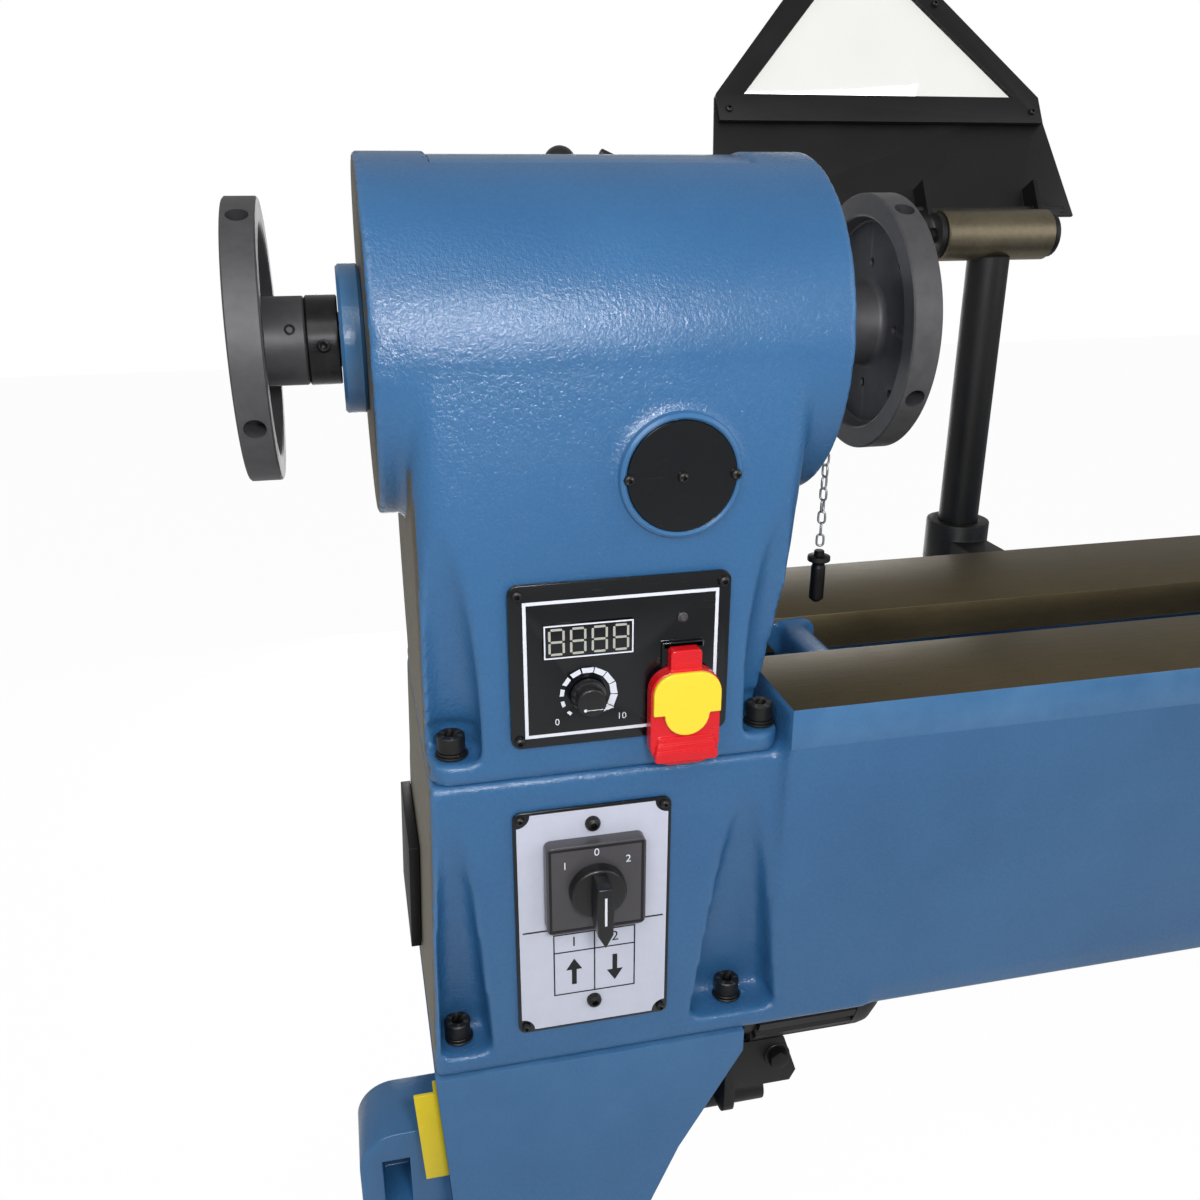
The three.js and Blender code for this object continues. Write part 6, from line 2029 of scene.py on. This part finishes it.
@dataclass
class Guard(SubAssembly):
    """The hinged guard with its bracket and post."""

    pivot_y: float = 222.0
    pivot_z: float = 1139.0
    lean: float = math.radians(30.0)
    frame_front: float = 13.7
    rivets: tuple[Flat, ...] = ((311.0, 120.0), (587.0, 120.0), (512.0, 221.0))
    tube: Flat = (470.0, 566.0)
    tube_radius: float = 20.0
    rod: Flat = (459.0, 577.0)
    rod_radius: float = 6.0
    post_x: float = 518.0
    post_radius: float = 17.0
    post_foot: float = 869.3

    def build(self) -> None:
        """Builds the sheets, the window, the rivets and the hinge."""
        eased("guard_foot", "guard_bracket", 1.0, Coats.POWDER, Body.STAND)
        eased("guard_sheet", "guard_panel", 0.5, Coats.POWDER, Body.GUARD)
        eased("guard_gable", "guard_frame", 0.5, Coats.POWDER, Body.GUARD)
        eased("guard_pane", "guard_window", 0.3, Coats.CLEAR, Body.GUARD)
        self.rivet_heads()
        self.hinge()

    def rivet_heads(self) -> None:
        """Round heads on the gable's front, which leans back on its pivot."""
        lean = Matrix.Translation(at(0.0, self.pivot_y, self.pivot_z)) @ Matrix.Rotation(-self.lean, 4, "X")
        seats = [lean @ Matrix.Translation(Vector((x, self.frame_front, up)) * MM) for x, up in self.rivets]
        pan_screw("guard_rivets", 3.0).copies(seats).smooth().dress(Coats.OXIDE, Body.GUARD)

    def hinge(self) -> None:
        """A black post under a bare tube, and the rod through it."""
        centre = at(0.0, self.pivot_y, self.pivot_z)
        bore = self.rod_radius + 0.4
        left, right = self.tube
        reach = self.tube_radius
        profile = ring_profile([(left, bore), (left, reach), (right, reach), (right, bore)], 1.0)
        tube = Piece.lathe("hinge_tube", profile, centre, Axis.X, 72, True)
        tube.smooth().dress(Coats.BARE_TUBE, Body.STAND)
        top = self.pivot_z - self.post_foot - reach + 4.0
        profile = [(0.0, 0.0), (0.0, self.post_radius), (top, self.post_radius), (top, 0.0)]
        foot = at(self.post_x, self.pivot_y, self.post_foot)
        post = Piece.lathe("guard_upright", chamfered(profile, 0.8), foot, Axis.Z, 56)
        post.smooth().dress(Coats.POWDER, Body.STAND, "guard_post")
        left, right = self.rod
        profile = [(left, 0.0), (left, self.rod_radius), (right, self.rod_radius), (right, 0.0)]
        rod = Piece.lathe("hinge_rod", chamfered(profile, 0.9), centre, Axis.X, 32)
        rod.smooth().dress(Coats.OXIDE, Body.STAND)


# Fittings on the bed
@dataclass
class Banjo(SubAssembly):
    """The banjo with its clamp, its levers and the tool rest."""

    def build(self) -> None:
        """Builds every piece that travels on the ways."""
        moulded("banjo_casting", "banjo", 2.2, Coats.ENAMEL, Body.BANJO, 5)
        eased("clamp_plate", "banjo_clamp", 1.2, Coats.PHOSPHATE_CAST, Body.BANJO_CLAMP)
        eased("slide_block", "banjo_slide_block", 1.0, Coats.PHOSPHATE_CAST, Body.BANJO_SLIDE_BLOCK)
        moulded("banjo_lever", "banjo_clamp_lever", 1.0, Coats.OXIDE, Body.BANJO_CLAMP_LEVER, 4)
        moulded("rest_lever", "rest_lock_lever", 1.0, Coats.OXIDE, Body.REST_LOCK_LEVER, 4)
        moulded("rest_casting", "tool_rest", 1.5, Coats.ENAMEL_SMOOTH, Body.TOOL_REST, 4)
        eased("rest_ring", "rest_collar", 0.9, Coats.OXIDE, Body.REST_COLLAR, 2)


@dataclass
class Tailstock(SubAssembly):
    """The tailstock with its quill, live centre, handwheel and levers."""

    quill_radius: float = 20.0
    marks: int = 12
    mark_pitch: float = 2.0
    mark_start: float = 6.0
    mark_turn: float = 38.0

    def build(self) -> None:
        """Builds every piece of the tailstock."""
        moulded("tailstock_casting", "tailstock_body", 2.6, Coats.ENAMEL, Body.TAILSTOCK, 5)
        eased("tailstock_shoe", "tailstock_clamp", 1.2, Coats.PHOSPHATE_CAST, Body.TAILSTOCK)
        self.barrel()
        eased("centre_body", "live_centre", 0.5, Coats.BRIGHT_TURNED, Body.LIVE_CENTRE)
        moulded("wheel_body", "handwheel", 1.6, Coats.ENAMEL_SMOOTH, Body.HANDWHEEL, 4)
        moulded("quill_lever", "quill_lock_lever", 0.9, Coats.OXIDE, Body.QUILL_LOCK_LEVER, 4)
        moulded("clamp_lever", "tailstock_clamp_lever", 1.0, Coats.OXIDE, Body.TAILSTOCK_CLAMP_LEVER, 4)

    def barrel(self) -> None:
        """The quill with a scale of dark lines, every fifth one longer."""
        piece = Piece.copy_of("quill_barrel", "quill").tidy()
        piece.bevel(0.6 * MM, 2).smooth().dress(Coats.BRIGHT_TURNED, Body.QUILL, "quill")
        left = DATUM.box("quill")[0][0] + self.mark_start
        reach = self.quill_radius
        lines = []
        for i in range(self.marks):
            half = 2.6 if i % 5 == 0 else 1.5
            line = Piece.box(f"quill_mark_{i}", Vector((-0.2, -half, reach - 0.5)) * MM,
                             Vector((0.2, half, reach + 0.04)) * MM)
            place = at(left + i * self.mark_pitch, 0.0, SPINDLE_HEIGHT)
            turn = Matrix.Rotation(math.radians(self.mark_turn), 4, "X")
            lines.append(line.bevel(0.05 * MM, 1).moved(Matrix.Translation(place) @ turn))
        Piece.joined("quill_marks", lines).dress(Coats.BLACK_INK, Body.QUILL)


@dataclass
class SideFittings(SubAssembly):
    """The fittings on the ends and behind the bed."""

    def build(self) -> None:
        """Builds the side box, the end cover, the inverter and the hook plate."""
        eased("side_box", "leg_side_box", 1.2, Coats.ENAMEL_SMOOTH, Body.STAND)
        eased("end_plate", "end_cover", 0.6, Coats.POWDER, Body.STAND)
        eased("inverter_case", "inverter", 1.4, Coats.HOUSING, Body.STAND, 3)
        eased("hook_plate", "tool_hook", 0.4, Coats.HOOK, Body.STAND)


# Studio
@dataclass
class Studio:
    """Floor, lamps, world and camera."""

    eye: tuple[float, float, float] = (-13.2, -655.5, 1186.6)
    yaw: float = 12.82
    pitch: float = -20.8
    roll: float = -0.06
    lens: float = 33.66
    world_light: float = 0.38
    floor_size: float = 14.0
    floor_share: float = 0.9
    floor_glow: float = 1.05

    def build(self) -> None:
        """Sets the studio up."""
        self.world()
        self.floor()
        self.lamps()
        self.camera()

    def world(self) -> None:
        """A white backdrop for the camera and through the window, and a softer light."""
        world = bpy.data.worlds.new("studio_world")
        bpy.context.scene.world = world
        world.use_nodes = True
        graph = Graph(world.node_tree)
        camera = graph.add("ShaderNodeLightPath", {}, {}, "Is Camera Ray")
        through = graph.add("ShaderNodeLightPath", {}, {}, "Is Transmission Ray")
        seen = graph.add("ShaderNodeMath", {"operation": "MAXIMUM"}, {0: camera, 1: through})
        light = graph.add("ShaderNodeBackground", {}, {"Color": WHITE, "Strength": self.world_light})
        backdrop = graph.add("ShaderNodeBackground", {}, {"Color": WHITE, "Strength": 1.0})
        mixed = graph.add("ShaderNodeMixShader", {}, {0: seen, 1: light, 2: backdrop})
        graph.finish("ShaderNodeOutputWorld", mixed)

    def floor(self) -> None:
        """A plain pale floor that looks white to the camera and keeps a soft shadow."""
        deselect()
        bpy.ops.mesh.primitive_plane_add(size=self.floor_size, location=ORIGIN)
        floor = bpy.context.object
        floor.name = "studio_floor"
        material = bpy.data.materials.new("studio_floor")
        material.use_nodes = True
        graph = Graph(material.node_tree)
        share = graph.add("ShaderNodeLightPath", {}, {}, "Is Camera Ray") * self.floor_share
        matt = graph.add("ShaderNodeBsdfDiffuse", {}, {"Color": (0.8, 0.8, 0.8, 1.0)})
        glow = graph.add("ShaderNodeEmission", {}, {"Color": WHITE, "Strength": self.floor_glow})
        mixed = graph.add("ShaderNodeMixShader", {}, {0: share, 1: matt, 2: glow})
        graph.finish("ShaderNodeOutputMaterial", mixed)
        floor.data.materials.append(material)

    def lamps(self) -> None:
        """A large soft key from the upper left, a low frontal light and a fill."""
        self.lamp("key_light", at(-900.0, -1900.0, 2700.0), at(250.0, 0.0, 950.0), 1.8, 30.0)
        self.lamp("front_light", at(110.0, -720.0, 1275.0), at(80.0, 0.0, 1110.0), 0.11, 3.0)
        self.lamp("fill_light", at(2200.0, -1500.0, 1700.0), at(500.0, 0.0, 800.0), 1.6, 14.0)
        self.lamp("back_light", at(700.0, 2300.0, 600.0), at(600.0, 0.0, 800.0), 1.6, 22.0)

    def lamp(self, name: str, place: Vector, target: Vector, size: float, power: float) -> None:
        """One square area lamp aimed at a place.

        Args:
            name: The lamp's name.
            place: Where it hangs.
            target: Where it points.
            size: The side of its square in metres.
            power: Its power in watts.
        """
        deselect()
        bpy.ops.object.light_add(type="AREA", location=place)
        lamp = bpy.context.object
        lamp.name = name
        lamp.data.size = size
        lamp.data.energy = power
        lamp.rotation_euler = (target - place).to_track_quat("-Z", "Y").to_euler()

    def camera(self) -> None:
        """The photo's camera."""
        yaw, pitch = math.radians(self.yaw), math.radians(self.pitch)
        forward = Vector((math.sin(yaw) * math.cos(pitch), math.cos(yaw) * math.cos(pitch), math.sin(pitch)))
        deselect()
        bpy.ops.object.camera_add(location=at(*self.eye))
        camera = bpy.context.object
        camera.name = "photo_camera"
        aim = forward.to_track_quat("-Z", "Y").to_matrix().to_4x4()
        turn = aim @ Matrix.Rotation(math.radians(self.roll), 4, "Z")
        camera.rotation_euler = turn.to_euler()
        camera.data.lens = self.lens
        camera.data.sensor_width = 36.0
        camera.data.clip_start = 0.02
        bpy.context.scene.camera = camera
        bpy.context.scene.view_settings.view_transform = "Standard"


def write_size() -> None:
    """Updates the view layer."""
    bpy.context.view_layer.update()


def main() -> None:
    """Builds every sub-assembly in order, then the studio."""
    logging.basicConfig(level=logging.INFO, format="%(message)s")
    write_size()
    for group in (Headstock(), Bed(), Legs(), Bolts(), Spindle(), Motor(), ControlPanel(), LabelPlate(),
                  BeltCover(), LockPin(), Guard(), Banjo(), Tailstock(), SideFittings()):
        LOG.info("building %s", type(group).__name__)
        group.build()
    Studio().build()
    write_size()


if __name__ == "__main__":
    main()
